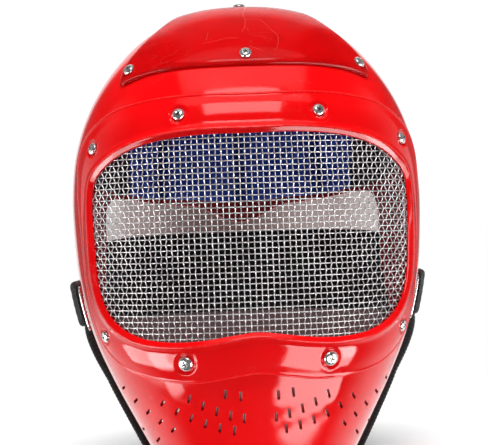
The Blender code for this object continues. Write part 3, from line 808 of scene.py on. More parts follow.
# The cracks, as their points on the plate seen from the front, (x, z).
LONG_CRACK = (
    (2.2, 295.5),
    (10.9, 295.2),
    (14.2, 292.2),
    (17.7, 287.4),
    (21.2, 283.8),
    (21.7, 279.9),
    (20.9, 275.5),
    (18.9, 273.0),
)
CRACKS = (
    ((3.3, 306.8), (0.8, 300.4), (1.6, 295.5), (1.0, 290.0), (-1.5, 286.6)),
    ((1.0, 290.0), (3.4, 286.9)),
    LONG_CRACK,
    ((-3.5, 282.0), (-10.6, 282.3), (-19.8, 280.4), (-26.3, 279.3)),
    ((-22.9, 286.8), (-24.5, 281.3)),
    ((3.2, 276.0), (6.9, 274.6), (10.6, 273.2)),
)
CRACK_RADIUS = 0.10
CRACK_STEPS = 6
CRACK_SHAKE = 0.35
CRACK_TOP = 308.5


def tube(name, paths, radius, sides, closed=False):
    """A mesh of round wires that follow lists of points, in millimetres, with rounded joints."""
    curve = bpy.data.curves.new(name, "CURVE")
    curve.dimensions = "3D"
    curve.bevel_depth = radius
    curve.bevel_resolution = (sides - 4) // 2
    curve.use_fill_caps = not closed
    for path in paths:
        line = curve.splines.new("POLY")
        line.points.add(len(path) - 1)
        line.points.foreach_set("co", [value for point in path for value in (*point, 1.0)])
        line.use_cyclic_u = closed
    holder = in_scene(name, curve)
    graph = bpy.context.evaluated_depsgraph_get()
    mesh = bpy.data.meshes.new_from_object(holder.evaluated_get(graph))
    bpy.data.objects.remove(holder, do_unlink=True)
    mesh_data = as_bmesh(mesh)
    bpy.data.meshes.remove(mesh)
    return mesh_data


_paths = []
for crack in CRACKS:
    if len(crack) > 2:
        line = spline(crack, CRACK_STEPS, closed=False)
    else:
        first, last = Vector(crack[0]), Vector(crack[1])
        line = [first.lerp(last, i / CRACK_STEPS) for i in range(CRACK_STEPS + 1)]
    path = []
    for k, (x, z) in enumerate(line):
        shake = noise.noise(Vector((x * 0.9, z * 0.9, k * 0.3))) * CRACK_SHAKE
        path.append(front_point(x + shake, min(z, CRACK_TOP), SEAT_GAP + PLATE_THICKNESS + 0.01))
    _paths.append(path)
CRACK_PALE, _tree, _surface = new_material("pale_crack", {"Roughness": 0.35, "IOR": 1.5})
_broken = clouds(_tree, object_place(_tree), 300.0)
_tone = mixed(_tree, _broken, (0.80, 0.03, 0.03, 1), (0.85, 0.13, 0.11, 1))
feed(_tree, _surface, {"Base Color": _tone})
finished("crown_cracks", tube("cracks", _paths, CRACK_RADIUS, 4), CRACK_PALE, "red_plastic")

# ---------------------------------------------------------------- Visor
# Bright steel wire, 0.76 mm thick, in a plain weave of 3.75 mm pitch. The upright wires carry most of
# the crimp. The panel is cut to shape, domed, and clamped between shell and frame.

WIRE_PITCH = 3.75
WIRE_RADIUS = 0.38
WIRE_SIDES = 6
WIRE_STEPS = 5
WARP_CRIMP = 0.72
WEFT_CRIMP = 0.26
WIRE_LIFT = 1.25
VISOR_BORDER = 5.6
VISOR_BORDER_SHARE = 0.68
OUTLINE_STEPS = 20
# How many wires are tried on either side of the middle one. The panel's edge cuts them off.
WARP_REACH = 46
WEFT_REACH = 24
WIRE_WANDER = 0.16

window_line, outer_line = face_loops(OUTLINE_STEPS)
_border = across_band(window_line, outer_line, VISOR_BORDER, VISOR_BORDER_SHARE)
_middle_z = (min(z for _, z in window_line) + max(z for _, z in window_line)) / 2


def crossings(along_x, at):
    """Where a straight line at a fixed x or z meets the visor's edge, sorted."""
    found = []
    for a, b in zip(_border, _border[1:] + _border[:1]):
        p, q = (a.x, b.x) if along_x else (a.y, b.y)
        if (p - at) * (q - at) < 0:
            t = (at - p) / (q - p)
            found.append(a.y + (b.y - a.y) * t if along_x else a.x + (b.x - a.x) * t)
    return sorted(found)


def walked(line):
    """How far each point of a line across the dome's middle lies along the surface."""
    reached = [0.0]
    for a, b in zip(line, line[1:]):
        reached.append(reached[-1] + (front_point(*b) - front_point(*a)).length)
    return reached


# The weave is even along the dome, so that its cells narrow where the dome turns away at the sides.
WALK_STEP = 0.5
WALK_COUNTS = {"across": 226, "above": 200, "below": 180}
_across = [k * WALK_STEP for k in range(WALK_COUNTS["across"])]
_above = [_middle_z + k * WALK_STEP for k in range(WALK_COUNTS["above"])]
_below = [_middle_z - k * WALK_STEP for k in range(WALK_COUNTS["below"])]
_across_run = walked([(x, _middle_z) for x in _across])
_above_run = walked([(0.0, z) for z in _above])
_below_run = walked([(0.0, z) for z in _below])


def weave_x(wire):
    """The x of an upright wire, by its number from the middle one."""
    return math.copysign(float(np.interp(abs(wire) * WIRE_PITCH, _across_run, _across)), wire)


def weave_z(wire):
    """The z of a level wire, by its number from the middle one."""
    run, levels = (_above_run, _above) if wire >= 0 else (_below_run, _below)
    return float(np.interp(abs(wire) * WIRE_PITCH, run, levels))


def wires(upright):
    """The centre lines of one set of wires. Each goes over and under the others in turn."""
    paths = []
    reach, crimp, seed = (WARP_REACH, WARP_CRIMP, 50) if upright else (WEFT_REACH, -WEFT_CRIMP, 0)
    own_place, run_place = (weave_x, weave_z) if upright else (weave_z, weave_x)
    for i in range(-reach, reach + 1):
        at = own_place(i)
        ends = crossings(upright, at + 1e-4)
        for low, high in zip(ends[::2], ends[1::2]):
            path = []
            for k in range(-WARP_REACH * WIRE_STEPS, WARP_REACH * WIRE_STEPS + 1):
                run = run_place(k / WIRE_STEPS)
                if not low < run < high:
                    continue
                phase = math.cos(math.pi * k / WIRE_STEPS) * (-1) ** i
                wander = noise.noise(Vector((i * 3.1 + seed, run * 0.02, 0.5))) * WIRE_WANDER
                x, z = (at + wander, run) if upright else (run, at + wander)
                flat = math.copysign(abs(phase) ** 0.8, phase)
                path.append(front_point(x, z, WIRE_LIFT + crimp * flat))
            if len(path) > 3:
                paths.append(path)
    return paths


WIRE_STEEL, _tree, _surface = new_material("visor_wire_steel", {"Metallic": 0.72, "Anisotropic": 0.0})
_place = object_place(_tree)
_drawn = clouds(_tree, _place, 1500.0)
_tarnish = ramp(_tree, clouds(_tree, _place, 60.0, 3.0), 0.35, 0.7)
_tone = mixed(_tree, _tarnish, (0.93, 0.92, 0.92, 1), (0.66, 0.64, 0.64, 1))
_rough = ramp(_tree, _drawn, 0.2, 0.8, 0.20, 0.36)
_normal = embossed(_tree, _drawn, 0.00002, 0.5)
feed(_tree, _surface, {"Base Color": _tone, "Roughness": _rough, "Normal": _normal})
for name, upright in (("warp", True), ("weft", False)):
    _wires = tube(name, wires(upright), WIRE_RADIUS, WIRE_SIDES)
    finished("visor_" + name, _wires, WIRE_STEEL, "steel_wire", "visor_mesh", sharp=80)

# ---------------------------------------------------------------- Face frame
# A separate red moulding, 3 mm high, that clamps the wire edge to the shell with eight screws. It has
# a raised lip at the window, a hollow behind it, a thin bead at its outer edge and dimples for screws.

FRAME_REBATE = 6.6
FRAME_REBATE_SHARE = 0.8
FRAME_LIFT = 3.4
DIMPLE_DEPTH = 1.2
# Section from under the lip, over it and out to the outer edge, and back below. "window" measures out
# from the window and takes at most a share of the band, "flat" is a share of the way from the
# rebate to the outer edge, and "edge" measures in from it.
# Columns: measured_from, distance, most_share, lift.
FRAME_SECTION = (
    ("window", 1.2, 0.20, 2.45),
    ("window", 0.35, 0.06, 2.45),
    ("window", 0.05, 1.0, 2.62),
    ("window", 0.0, 1.0, 2.95),
    ("window", 0.12, 0.02, 3.25),
    ("window", 0.6, 0.08, 3.60),
    ("window", 1.3, 0.17, 4.10),
    ("window", 2.0, 0.24, 4.66),
    ("window", 2.5, 0.29, 5.00),
    ("window", 2.95, 0.33, 5.17),
    ("window", 3.4, 0.37, 5.16),
    ("window", 3.9, 0.42, 4.98),
    ("window", 4.6, 0.49, 4.55),
    ("window", 5.4, 0.57, 4.08),
    ("window", 6.2, 0.66, 3.72),
    ("window", 7.0, 0.72, 3.50),
    ("flat", 0.08, 1.0, 3.46),
    ("flat", 0.15, 1.0, 3.47),
    ("flat", 0.22, 1.0, 3.51),
    ("flat", 0.29, 1.0, 3.54),
    ("flat", 0.36, 1.0, 3.55),
    ("flat", 0.43, 1.0, 3.54),
    ("flat", 0.50, 1.0, 3.50),
    ("flat", 0.56, 1.0, 3.44),
    ("flat", 0.62, 1.0, 3.35),
    ("flat", 0.68, 1.0, 3.23),
    ("flat", 0.74, 1.0, 3.08),
    ("flat", 0.80, 1.0, 2.91),
    ("edge", 2.4, 0.26, 2.72),
    ("edge", 1.8, 0.20, 2.68),
    ("edge", 1.4, 0.16, 2.80),
    ("edge", 1.05, 0.12, 2.98),
    ("edge", 0.7, 0.08, 3.02),
    ("edge", 0.36, 0.04, 2.88),
    ("edge", 0.12, 0.02, 2.58),
    ("edge", 0.0, 1.0, 2.1),
    ("edge", 0.0, 1.0, SEAT_GAP + 0.25),
    ("edge", 0.2, 0.05, SEAT_GAP),
    ("flat", 0.5, 1.0, SEAT_GAP),
    ("flat", 0.02, 1.0, SEAT_GAP),
    ("window", FRAME_REBATE, FRAME_REBATE_SHARE, 1.4),
    ("window", FRAME_REBATE, FRAME_REBATE_SHARE, 2.55),
    ("window", 3.6, 0.5, 2.55),
)
# The rows of the section's top, from the lip's back to the bead's, which the dimples press in.
DIMPLED_ROWS = range(12, 35)
# How much the lip's crest and the bead are rubbed, by row.
FRAME_RUBBED = {8: 0.3, 9: 0.9, 10: 0.9, 11: 0.3, 31: 0.5, 32: 0.8, 33: 0.4}
DIMPLE_PLAY = 0.5
DIMPLE_FLARE = 0.6
DIMPLE_CREST = 0.12
DIMPLE_FADE = 2.0
DIMPLE_SLOPE = 1.4
# A point further than this from a screw's place is left alone by its dimple.
DIMPLE_REACH = 20
# Columns: name, x, z, head_radius, dimple_radius.
FRAME_SCREWS = (
    ("brow", 44.2, 233.2, 4.0, 5.4),
    ("temple", 99.6, 215, 4.0, 4.9),
    ("cheek", 95.2, 92.9, 4.0, 4.9),
    ("chin", 45, 76, 4.8, 6.6),
)
HANDS = (("left", -1), ("right", 1))
frame_seats = []
for screw_name, x, z, head_radius, dimple_radius in FRAME_SCREWS:
    for hand, side in HANDS:
        base = front_point(side * x, z)
        frame_seats.append((f"{screw_name}_{hand}", base, outward(*base), head_radius, dimple_radius))


def dimpled(point, lift):
    """How far a frame point is lifted, once the screw dimples are pressed into the moulding."""
    low = FRAME_LIFT - DIMPLE_DEPTH
    for _, base, normal, head_radius, dimple_radius in frame_seats:
        offset = point - base
        if offset.length > DIMPLE_REACH:
            continue
        away = (offset - normal * offset.dot(normal)).length
        mouth = dimple_radius + DIMPLE_FLARE
        slope = min(DIMPLE_SLOPE, mouth - head_radius - DIMPLE_PLAY)
        if away < head_radius + DIMPLE_PLAY:
            return low
        if away < mouth:
            t = max(0.0, (away - mouth + slope) / slope)
            return low + (lift + DIMPLE_CREST - low) * (t * t * (3 - 2 * t))
        if away < mouth + DIMPLE_FADE:
            return lift + DIMPLE_CREST * math.cos(math.pi / 2 * (away - mouth) / DIMPLE_FADE) ** 2
    return lift


frame_rings = []
for row, (measured_from, distance, most_share, lift) in enumerate(FRAME_SECTION):
    if measured_from == "window":
        outline = across_band(window_line, outer_line, distance, most_share)
    elif measured_from == "flat":
        near = across_band(window_line, outer_line, FRAME_REBATE, FRAME_REBATE_SHARE)
        outline = [a.lerp(b, distance) for a, b in zip(near, outer_line)]
    else:
        outline = []
        for a, b in zip(window_line, outer_line):
            outline.append(b + (a - b) * min(distance / (a - b).length, most_share))
    ring = []
    for x, z in outline:
        here = front_point(x, z)
        height = dimpled(here, lift) if row in DIMPLED_ROWS else lift
        ring.append(here + outward(*here) * height)
    frame_rings.append(ring)
_frame = loft(frame_rings, closed=True)
marked_rings(_frame, "rubbed", FRAME_RUBBED, len(window_line))
bmesh.ops.remove_doubles(_frame, verts=_frame.verts, dist=0.003)
FRAME_RED = red_moulding("red_face_frame", waviness=0.06, scratches=0.5)
finished("face_frame_moulding", _frame, FRAME_RED, "red_plastic", "face_frame")

# ---------------------------------------------------------------- Screws
# Twelve bright-plated pan heads with a cross recess: four in the crown plate, eight in the dimples of
# the frame. Each is turned to where it came tight. The two chin screws have larger heads.

SHANK_RADIUS = 1.7
# Columns: name, x, y, head_radius.
CROWN_SCREWS = (
    ("crown_front", 0, -82.4, 4.0),
    ("crown_top", 0, -4, 4.0),
    ("crown_left", -73.8, -59.2, 4.0),
    ("crown_right", 73.8, -59.2, 4.0),
)
# Half of the head's section, for a head of 1 mm radius and 1 mm height: (radius, level).
HEAD_SECTION = (
    (0.0, 1.0),
    (0.30, 0.985),
    (0.55, 0.93),
    (0.74, 0.82),
    (0.88, 0.66),
    (0.96, 0.46),
    (1.0, 0.24),
    (1.0, 0.10),
    (0.97, 0.03),
    (0.92, 0.0),
)
HEAD_HEIGHT = 2.4
HEAD_GAP = 0.3
HEAD_SIDES = 32
# The recess at its bottom and above the head, for the same head: (arm's reach, half width, level).
RECESS_SECTION = ((0.20, 0.09, 0.28), (0.60, 0.13, 1.2))
SHANK_PAST_WALL = 0.4
PLATED, _tree, _surface = new_material("bright_plated_screw", {"Metallic": 0.85})
_turned = clouds(_tree, object_place(_tree), 700.0, 3.0)
_marks = add_node(_tree, "ShaderNodeGroup", {"Waviness": 0.01, "Grain": 0.004}, node_tree=MARKS)
_tone = mixed(_tree, ramp(_tree, _turned, 0.4, 0.75), (0.95, 0.95, 0.94, 1), (0.74, 0.73, 0.71, 1))
_tone = mixed(_tree, mark(_tree, "recess"), _tone, (0.16, 0.15, 0.14, 1))
_rough = ramp(_tree, _turned, 0.3, 0.8, 0.14, 0.30)
_normal = embossed(_tree, _marks.outputs["Height"], MM)
feed(_tree, _surface, {"Base Color": _tone, "Roughness": _rough, "Normal": _normal})


def pan_head(head_radius, grip):
    """A pan-head screw along +Z, its seat at 0: its half section spun round, and a cross recess
    sunk in the crown of the head."""
    section = [(r * head_radius, level * HEAD_HEIGHT) for r, level in HEAD_SECTION]
    section += [(SHANK_RADIUS, 0.0), (SHANK_RADIUS, -grip), (0.0, -grip)]
    mesh_data = bmesh.new()
    line = [mesh_data.verts.new((r, 0, level)) for r, level in section]
    edges = [mesh_data.edges.new(pair) for pair in zip(line, line[1:])]
    turn = {"axis": (0, 0, 1), "cent": (0, 0, 0), "angle": math.tau, "steps": HEAD_SIDES}
    bmesh.ops.spin(mesh_data, geom=line + edges, use_merge=True, **turn)
    bmesh.ops.remove_doubles(mesh_data, verts=mesh_data.verts, dist=0.001)
    piece = finished("pan_head", mesh_data, PLATED, "bright_screw")
    cross = bmesh.new()
    loops = [bmesh.ops.create_circle(cross, segments=12, radius=1)["verts"]]
    loops.append(extruded_ring(cross, loops[0]))
    for loop, (reach, half, level) in zip(loops, RECESS_SECTION):
        reach, half = reach * head_radius, half * head_radius
        corners = ((reach, -half), (reach, half), (half, half))
        for i, vert in enumerate(loop):
            turn = Matrix.Rotation(math.radians(90 * (i // 3)), 2)
            vert.co.xy = turn @ Vector(corners[i % 3])
            vert.co.z = level * HEAD_HEIGHT
    cut_away(piece, capped(cross), sharp=30)
    mesh_data = as_bmesh(piece.data)
    bpy.data.objects.remove(piece, do_unlink=True)
    bmesh.ops.scale(mesh_data, vec=(1 / MM, 1 / MM, 1 / MM), verts=mesh_data.verts)
    layer = mesh_data.verts.layers.float.new("recess")
    # The recess is coloured dark grey.
    for vert in mesh_data.verts:
        away = math.hypot(vert.co.x, vert.co.y)
        if 0.05 * HEAD_HEIGHT < vert.co.z < 0.7 * HEAD_HEIGHT and away < 0.62 * head_radius:
            vert[layer] = 1.0
    return mesh_data


_turns = random.Random(12)
screws = []
for screw_name, base, normal, head_radius, _ in frame_seats:
    screws.append((screw_name, base, normal, head_radius, FRAME_LIFT - DIMPLE_DEPTH))
for screw_name, x, y, head_radius in CROWN_SCREWS:
    base = crown_point(x, y)
    screws.append((screw_name, base, outward(*base), head_radius, SEAT_GAP + PLATE_THICKNESS))
_heads = {}
for screw_name, base, normal, head_radius, under in screws:
    kind = (head_radius, under)
    if kind not in _heads:
        _heads[kind] = pan_head(head_radius, under + WALL + HEAD_GAP + SHANK_PAST_WALL)
    turned = _heads[kind].copy()
    seat = Matrix.Translation(base + normal * (under + HEAD_GAP))
    square = normal.to_track_quat("Z", "Y").to_matrix().to_4x4()
    spin = Matrix.Rotation(_turns.uniform(0, math.pi / 2), 4, "Z")
    bmesh.ops.transform(turned, matrix=seat @ square @ spin, verts=turned.verts)
    finished("pan_head_" + screw_name, turned, PLATED, "bright_screw", "screw_" + screw_name, sharp=30)
for made in _heads.values():
    made.free()

# ---------------------------------------------------------------- Liner
# A padded cap against the inside of the crown: foam between two layers of navy cloth that turns black at its
# sides, sewn in radial channels, its lower edge bound. It is held by hook-and-loop dots on the shell.

LINER_THICKNESS = 7.0
LINER_GAP = 0.9
# Columns: angle, z.
LINER_EDGE = ((0, 238), (62, 236), (88, 214), (112, 193), (132, 187), (150, 183.5), (180, 178.5))
LINER_COLUMNS = 120
LINER_ROWS = 34
LINER_SEAM_ANGLES = (0, 30, 60, 90, 120, 150, 180)
LINER_SEAM_WIDTH = 2.2
LINER_SEAM_DEPTH = 2.4
LINER_HEM = 2.5
LINER_SWELL = 3.0
LINER_VOXEL = 4.0
LINER_PRESSURE = 4.0
LINER_CLEAR = 0.6
LINER_HIGH = APEX - 3.0
SEAM_FADE = 25
SWELL_FRAMES = 20


def from_front(angle):
    """How far an angle is from the front, to either side, in degrees."""
    return abs((angle + 180) % 360 - 180)


def liner_point(angle, along, depth):
    """A point of the cap by its angle, its run from the apex (0) to its edge (1), and its depth."""
    if not along:
        return Vector((0, 0, APEX - depth))
    low = table_at(LINER_EDGE, from_front(angle))[0] + LINER_HEM
    z = LINER_HIGH - (LINER_HIGH - low) * (1 - math.cos(along * math.pi / 2))
    return ring_point(angle, z, -depth)


_angles = [360 * i / LINER_COLUMNS for i in range(LINER_COLUMNS)]
_outside = WALL + LINER_GAP


def liner_ring(along, share, drop=0.0):
    """A ring of the cap, by its run from the apex and how deep it lies in the padding, 0 to 1."""
    depth = _outside + LINER_THICKNESS * share
    return [liner_point(angle, along, depth) - Vector((0, 0, drop)) for angle in _angles]


_runs = [i / LINER_ROWS for i in range(LINER_ROWS + 1)]
_rings = [liner_ring(run, 0) for run in _runs]
_rings += [liner_ring(1.0, share, LINER_HEM * math.sin(math.pi * share)) for share in (0.2, 0.5, 0.8)]
_rings += [liner_ring(run, 1) for run in reversed(_runs)]
_liner = loft(_rings)
bmesh.ops.remove_doubles(_liner, verts=_liner.verts, dist=0.01)

NAVY_CLOTH, _tree, _surface = new_material(
    "navy_liner_cloth", {"Sheen Weight": 0.35, "Sheen Roughness": 0.5, "Specular IOR Level": 0.25}
)
_place = object_place(_tree)
_apart = add_node(_tree, "ShaderNodeSeparateXYZ", {"Vector": _place})
_fuzz = clouds(_tree, _place, 1400.0, 3.0)
_thread = add_node(_tree, "ShaderNodeTexVoronoi", {"Vector": _place, "Scale": 700.0}).outputs["Distance"]
_navy = mixed(_tree, clouds(_tree, _place, 30.0, 4.0), (0.024, 0.085, 0.56, 1), (0.045, 0.15, 0.80, 1))
_navy = mixed(_tree, ramp(_tree, _fuzz, 0.45, 0.75, 0.0, 0.5), _navy, (0.06, 0.11, 0.48, 1))
_black = mixed(_tree, _fuzz, (0.006, 0.006, 0.008, 1), (0.018, 0.018, 0.022, 1))
# The cloth is black from 80 mm out from the middle.
_side = ramp(_tree, maths(_tree, "ABSOLUTE", _apart.outputs["X"]), 0.080, 0.083)
_seam = maths(_tree, "MULTIPLY", mark(_tree, "seam"), 0.7)
_tone = mixed(_tree, _seam, mixed(_tree, _side, _navy, _black), (0.004, 0.005, 0.02, 1))
_rough = ramp(_tree, _fuzz, 0.2, 0.8, 0.80, 0.95)
_normal = embossed(_tree, maths(_tree, "MULTIPLY_ADD", _thread, 0.6, _fuzz), 0.0002, 0.8)
feed(_tree, _surface, {"Base Color": _tone, "Roughness": _rough, "Normal": _normal})


def seam_pull(angle):
    """1 on a sewn seam of the liner and 0 away from it."""
    around = from_front(angle)
    return max(math.exp(-(((around - seam) / LINER_SEAM_WIDTH) ** 2)) for seam in LINER_SEAM_ANGLES)


def places(mesh):
    """A mesh's points as an array of rows."""
    flat = np.empty(len(mesh.vertices) * 3)
    mesh.vertices.foreach_get("co", flat)
    return flat.reshape(-1, 3)


def swell(piece, voxel, pressure, cap, pinned):
    """Blows padding up as cloth: remeshed evenly, inflated for some frames with its pinned points
    held, no point further than `cap` from where it began, all in metres."""
    remesh = piece.modifiers.new("even mesh", "REMESH")
    remesh.mode = "VOXEL"
    remesh.voxel_size = voxel
    applied(piece)
    start = places(piece.data)
    held = piece.vertex_groups.new(name="sewn")
    for i, point in enumerate(start):
        if pinned(Vector(point)):
            held.add([i], 1.0, "REPLACE")
    cloth = piece.modifiers.new("cloth", "CLOTH")
    stiffness = {"tension_stiffness": 8, "compression_stiffness": 8, "bending_stiffness": 0.4}
    blown = {"use_pressure": True, "uniform_pressure_force": pressure, "vertex_group_mass": held.name}
    for key, value in {"quality": 6, "mass": 0.3, **stiffness, **blown}.items():
        setattr(cloth.settings, key, value)
    cloth.settings.effector_weights.gravity = 0.0
    cloth.collision_settings.use_collision = False
    cloth.point_cache.frame_start = 1
    cloth.point_cache.frame_end = SWELL_FRAMES
    for frame_number in range(1, SWELL_FRAMES + 1):
        bpy.context.scene.frame_set(frame_number)
    applied(piece)
    bpy.context.scene.frame_set(1)
    shift = places(piece.data) - start
    length = np.linalg.norm(shift, axis=1, keepdims=True)
    shift *= np.minimum(1.0, cap / np.maximum(length, 1e-9))
    piece.data.vertices.foreach_set("co", (start + shift).ravel())
    piece.data.update()


def ring_angle(point):
    """A point's angle from the front, in degrees."""
    return math.degrees(math.atan2(point.x, -point.y))


def sewn(point):
    """Whether a point of the liner, in metres, is held by a seam or against the shell."""
    return seam_pull(ring_angle(point)) > 0.6 or face_value(*(point / MM)) > 0.9


def inside_shell(point):
    """Whether a point lies within the shell's outer face."""
    return face_value(*point) < 1 and point.z < APEX


liner = finished("liner_cap", _liner, NAVY_CLOTH, "navy_padding", "crown_liner", sharp=180)
swell(liner, LINER_VOXEL * MM, LINER_PRESSURE, LINER_SWELL * MM, sewn)
_shape = as_bmesh(liner.data)
bmesh.ops.subdivide_edges(_shape, edges=_shape.edges, cuts=1, use_grid_fill=True, smooth=0.5)
_seams = _shape.verts.layers.float.new("seam")
HEAD_MIDDLE = Vector((0, 0, 190))
for vert in _shape.verts:
    point = vert.co / MM
    # Depth below the shell's outer face, from the point straight out from the middle of the head.
    ray = point - HEAD_MIDDLE
    low, high = 1.0, 1.6
    for _ in range(14):
        half = (low + high) / 2
        low, high = (half, high) if inside_shell(HEAD_MIDDLE + ray * half) else (low, half)
    deep = ray.length * (low - 1)
    pull = seam_pull(ring_angle(point)) * min(1.0, math.hypot(point.x, point.y) / SEAM_FADE)
    if deep > _outside + 0.45 * LINER_THICKNESS:
        point += ray.normalized() * LINER_SEAM_DEPTH * pull
        vert[_seams] = pull
    elif deep < WALL + LINER_CLEAR:
        point -= ray.normalized() * (WALL + LINER_CLEAR - deep)
    vert.co = point * MM
_shape.to_mesh(liner.data)
_shape.free()
liner.data.shade_smooth()

# ---------------------------------------------------------------- Back strap
# A wide band of black woven elastic across the open back. It is pulled forward round the cheeks, where
# each end is folded back through a flat steel ring and sewn down.

# Columns: angle, bottom, top, lift, thickness.
BACK_STRAP = (
    (90.3, 101, 123, 2.9, 5.2),
    (91.2, 97.5, 126.5, 2.9, 5.6),
    (94, 96.5, 127.5, 2.9, 5.4),
    (99, 96.3, 127.5, 2.6, 4.4),
    (105, 96.2, 130, 1.0, 3.0),
    (112, 96, 137, 0.6, 2.8),
    (120, 96, 148, 0.8, 3.0),
    (132, 96, 154.5, -1.5, 3.0),
    (148, 96, 156, -6, 3.0),
    (164, 96, 156.5, -9, 3.0),
    (180, 96, 156.5, -10, 3.0),
)
STRAP_STATIONS = 150
STRAP_ACROSS = 20
STRAP_END_SHARE = 0.35
STRAP_WALK_LEVEL = 112.0
STRAP_RIB_PITCH = 6.5
STRAP_RIB_HEIGHT = 0.10
RING_ANGLES = (87.9, 94.6)
RING_BOTTOM = 94.2
RING_TOP = 122.8
RING_WIRE = 0.9
RING_LIFT = 1.5
RING_ROUND = 3.0
# How far the cheek runs for each degree, at the strap's ends.
CHEEK_RUN = 2.05


def weave_group():
    """Threads that pass over and under each other, from a UV map in millimetres."""
    tree, given, out = new_group(
        "woven_threads",
        {"Pitch Along": 1.2, "Pitch Across": 0.6, "Fuzz": 0.3},
        {"Height": "NodeSocketFloat", "Thread": "NodeSocketFloat"},
    )
    place = add_node(tree, "ShaderNodeUVMap", uv_map="UVMap")
    apart = add_node(tree, "ShaderNodeSeparateXYZ", {"Vector": place.outputs[0]})
    u, v = (
        maths(tree, "MULTIPLY", maths(tree, "DIVIDE", apart.outputs[axis], given.outputs[pitch]), math.pi)
        for axis, pitch in (("X", "Pitch Along"), ("Y", "Pitch Across"))
    )
    over = maths(tree, "MULTIPLY", maths(tree, "COSINE", u), 0.5)
    across = maths(tree, "SINE", v)
    raised = maths(tree, "MULTIPLY_ADD", over, maths(tree, "SIGN", across), 0.5)
    warp = maths(tree, "MULTIPLY", maths(tree, "ABSOLUTE", across), raised)
    weft = maths(tree, "ABSOLUTE", maths(tree, "SINE", u))
    weft = maths(tree, "MULTIPLY", weft, maths(tree, "SUBTRACT", 1.0, raised))
    high = maths(tree, "MAXIMUM", warp, weft)
    hairs = maths(tree, "MULTIPLY", clouds(tree, object_place(tree), 2500.0), given.outputs["Fuzz"])
    feed(tree, out, {"Height": maths(tree, "ADD", high, hairs), "Thread": high})
    return tree


WEAVE = weave_group()


def black_cloth(name, along, across, depth, dark, light):
    """Black woven cloth whose threads catch a little light. Its weave is `depth` mm deep."""
    shader = {"Sheen Weight": 0.25, "Sheen Roughness": 0.45, "Specular IOR Level": 0.3}
    made, tree, surface = new_material(name, shader)
    pitches = {"Pitch Along": along, "Pitch Across": across}
    weave = add_node(tree, "ShaderNodeGroup", pitches, node_tree=WEAVE)
    lint = ramp(tree, clouds(tree, object_place(tree), 120.0, 4.0), 0.60, 0.85, 0.0, 0.35)
    colour = mixed(tree, lint, mixed(tree, weave.outputs["Thread"], dark, light), (0.07, 0.07, 0.075, 1))
    rough = ramp(tree, weave.outputs["Thread"], 0.0, 1.0, 0.95, 0.62)
    normal = embossed(tree, weave.outputs["Height"], depth * MM)
    feed(tree, surface, {"Base Color": colour, "Roughness": rough, "Normal": normal})
    return made


ELASTIC = black_cloth("black_elastic", 1.3, 0.75, 0.22, (0.003, 0.003, 0.004, 1), (0.015, 0.015, 0.017, 1))


def tapered(ring, last, share):
    """Rises from `share` at either end of a run of rings to 1 at the third ring from it."""
    return min(1.0, share + (1 - share) * min(ring, last - ring) / 3)


def strap_edge(angle, z, side, lift, half):
    """The round of the strap's upper (+1) or lower (-1) edge, from one face to the other."""
    turns = [math.radians(side * turn) for turn in (-60, -30, 0, 30, 60)]
    return [
        ring_point(angle, z + side * half * math.cos(turn), lift + half + half * math.sin(turn))
        for turn in turns
    ]


_fine = np.linspace(BACK_STRAP[0][0], 180.0, 901)
_walk = [ring_point(angle, STRAP_WALK_LEVEL) for angle in _fine]
_half = evenly(_fine, [(b - a).length for a, b in zip(_walk, _walk[1:])], STRAP_STATIONS // 2 + 1)
_half = [float(angle) for angle in _half]
_stations = _half + [360 - angle for angle in _half[-2::-1]]
_rings = []
for k, angle in enumerate(_stations):
    bottom, top, lift, thickness = table_at(BACK_STRAP, from_front(angle))
    thickness *= tapered(k, len(_stations) - 1, STRAP_END_SHARE)
    half = thickness / 2
    low, high = bottom + half, top - half
    inner, outer = [], []
    for t in np.linspace(0.0, 1.0, STRAP_ACROSS).tolist():
        inner.append(ring_point(angle, low + (high - low) * t, lift))
    for t in np.linspace(1.0, 0.0, STRAP_ACROSS).tolist():
        ripple = STRAP_RIB_HEIGHT * math.sin(math.tau * (bottom + (top - bottom) * t) / STRAP_RIB_PITCH)
        outer.append(ring_point(angle, low + (high - low) * t, lift + thickness + ripple))
    upper, lower = strap_edge(angle, high, 1, lift, half), strap_edge(angle, low, -1, lift, half)
    _rings.append(inner + upper + outer + lower)
    here = ring_point(angle, (bottom + top) / 2, lift)
strap = finished("back_elastic", capped(loft(_rings)), ELASTIC, "black_webbing", "back_strap", sharp=60)


def ring_side_end(corner, other):
    """Where the straight side from a corner of the ring to another one begins, past its round."""
    angle = corner[0] + np.sign(other[0] - corner[0]) * RING_ROUND / CHEEK_RUN
    return angle, corner[1] + np.sign(other[1] - corner[1]) * RING_ROUND


# The flat rings that the strap's ends pass through: bright steel wire bent to a rounded rectangle.
_front, _rear = RING_ANGLES
_corners = ((_front, RING_BOTTOM), (_rear, RING_BOTTOM), (_rear, RING_TOP), (_front, RING_TOP))
for hand, side in HANDS:
    path = []
    for i, corner in enumerate(_corners):
        following = _corners[(i + 1) % 4]
        a, b = ring_side_end(corner, _corners[i - 1]), ring_side_end(corner, following)
        for t in (0.0, 0.25, 0.5, 0.75, 1.0):
            p = [(1 - t) ** 2 * a[n] + 2 * t * (1 - t) * corner[n] + t * t * b[n] for n in (0, 1)]
            path.append(ring_point(side * p[0], p[1], RING_LIFT))
        far = ring_side_end(following, corner)
        for t in [step / 8 for step in range(1, 8)]:
            p = [b[n] + (far[n] - b[n]) * t for n in (0, 1)]
            path.append(ring_point(side * p[0], p[1], RING_LIFT))
    _ring = tube("ring", [path], RING_WIRE, 12, closed=True)
    finished("strap_ring_" + hand, _ring, PLATED, "bright_screw", "strap_loop_" + hand, sharp=60)

# ---------------------------------------------------------------- Jaw edging
# A black padded binding pushed over the shell's rear edge below the strap. It is a ribbed tape folded
# in a channel round foam and stitched.

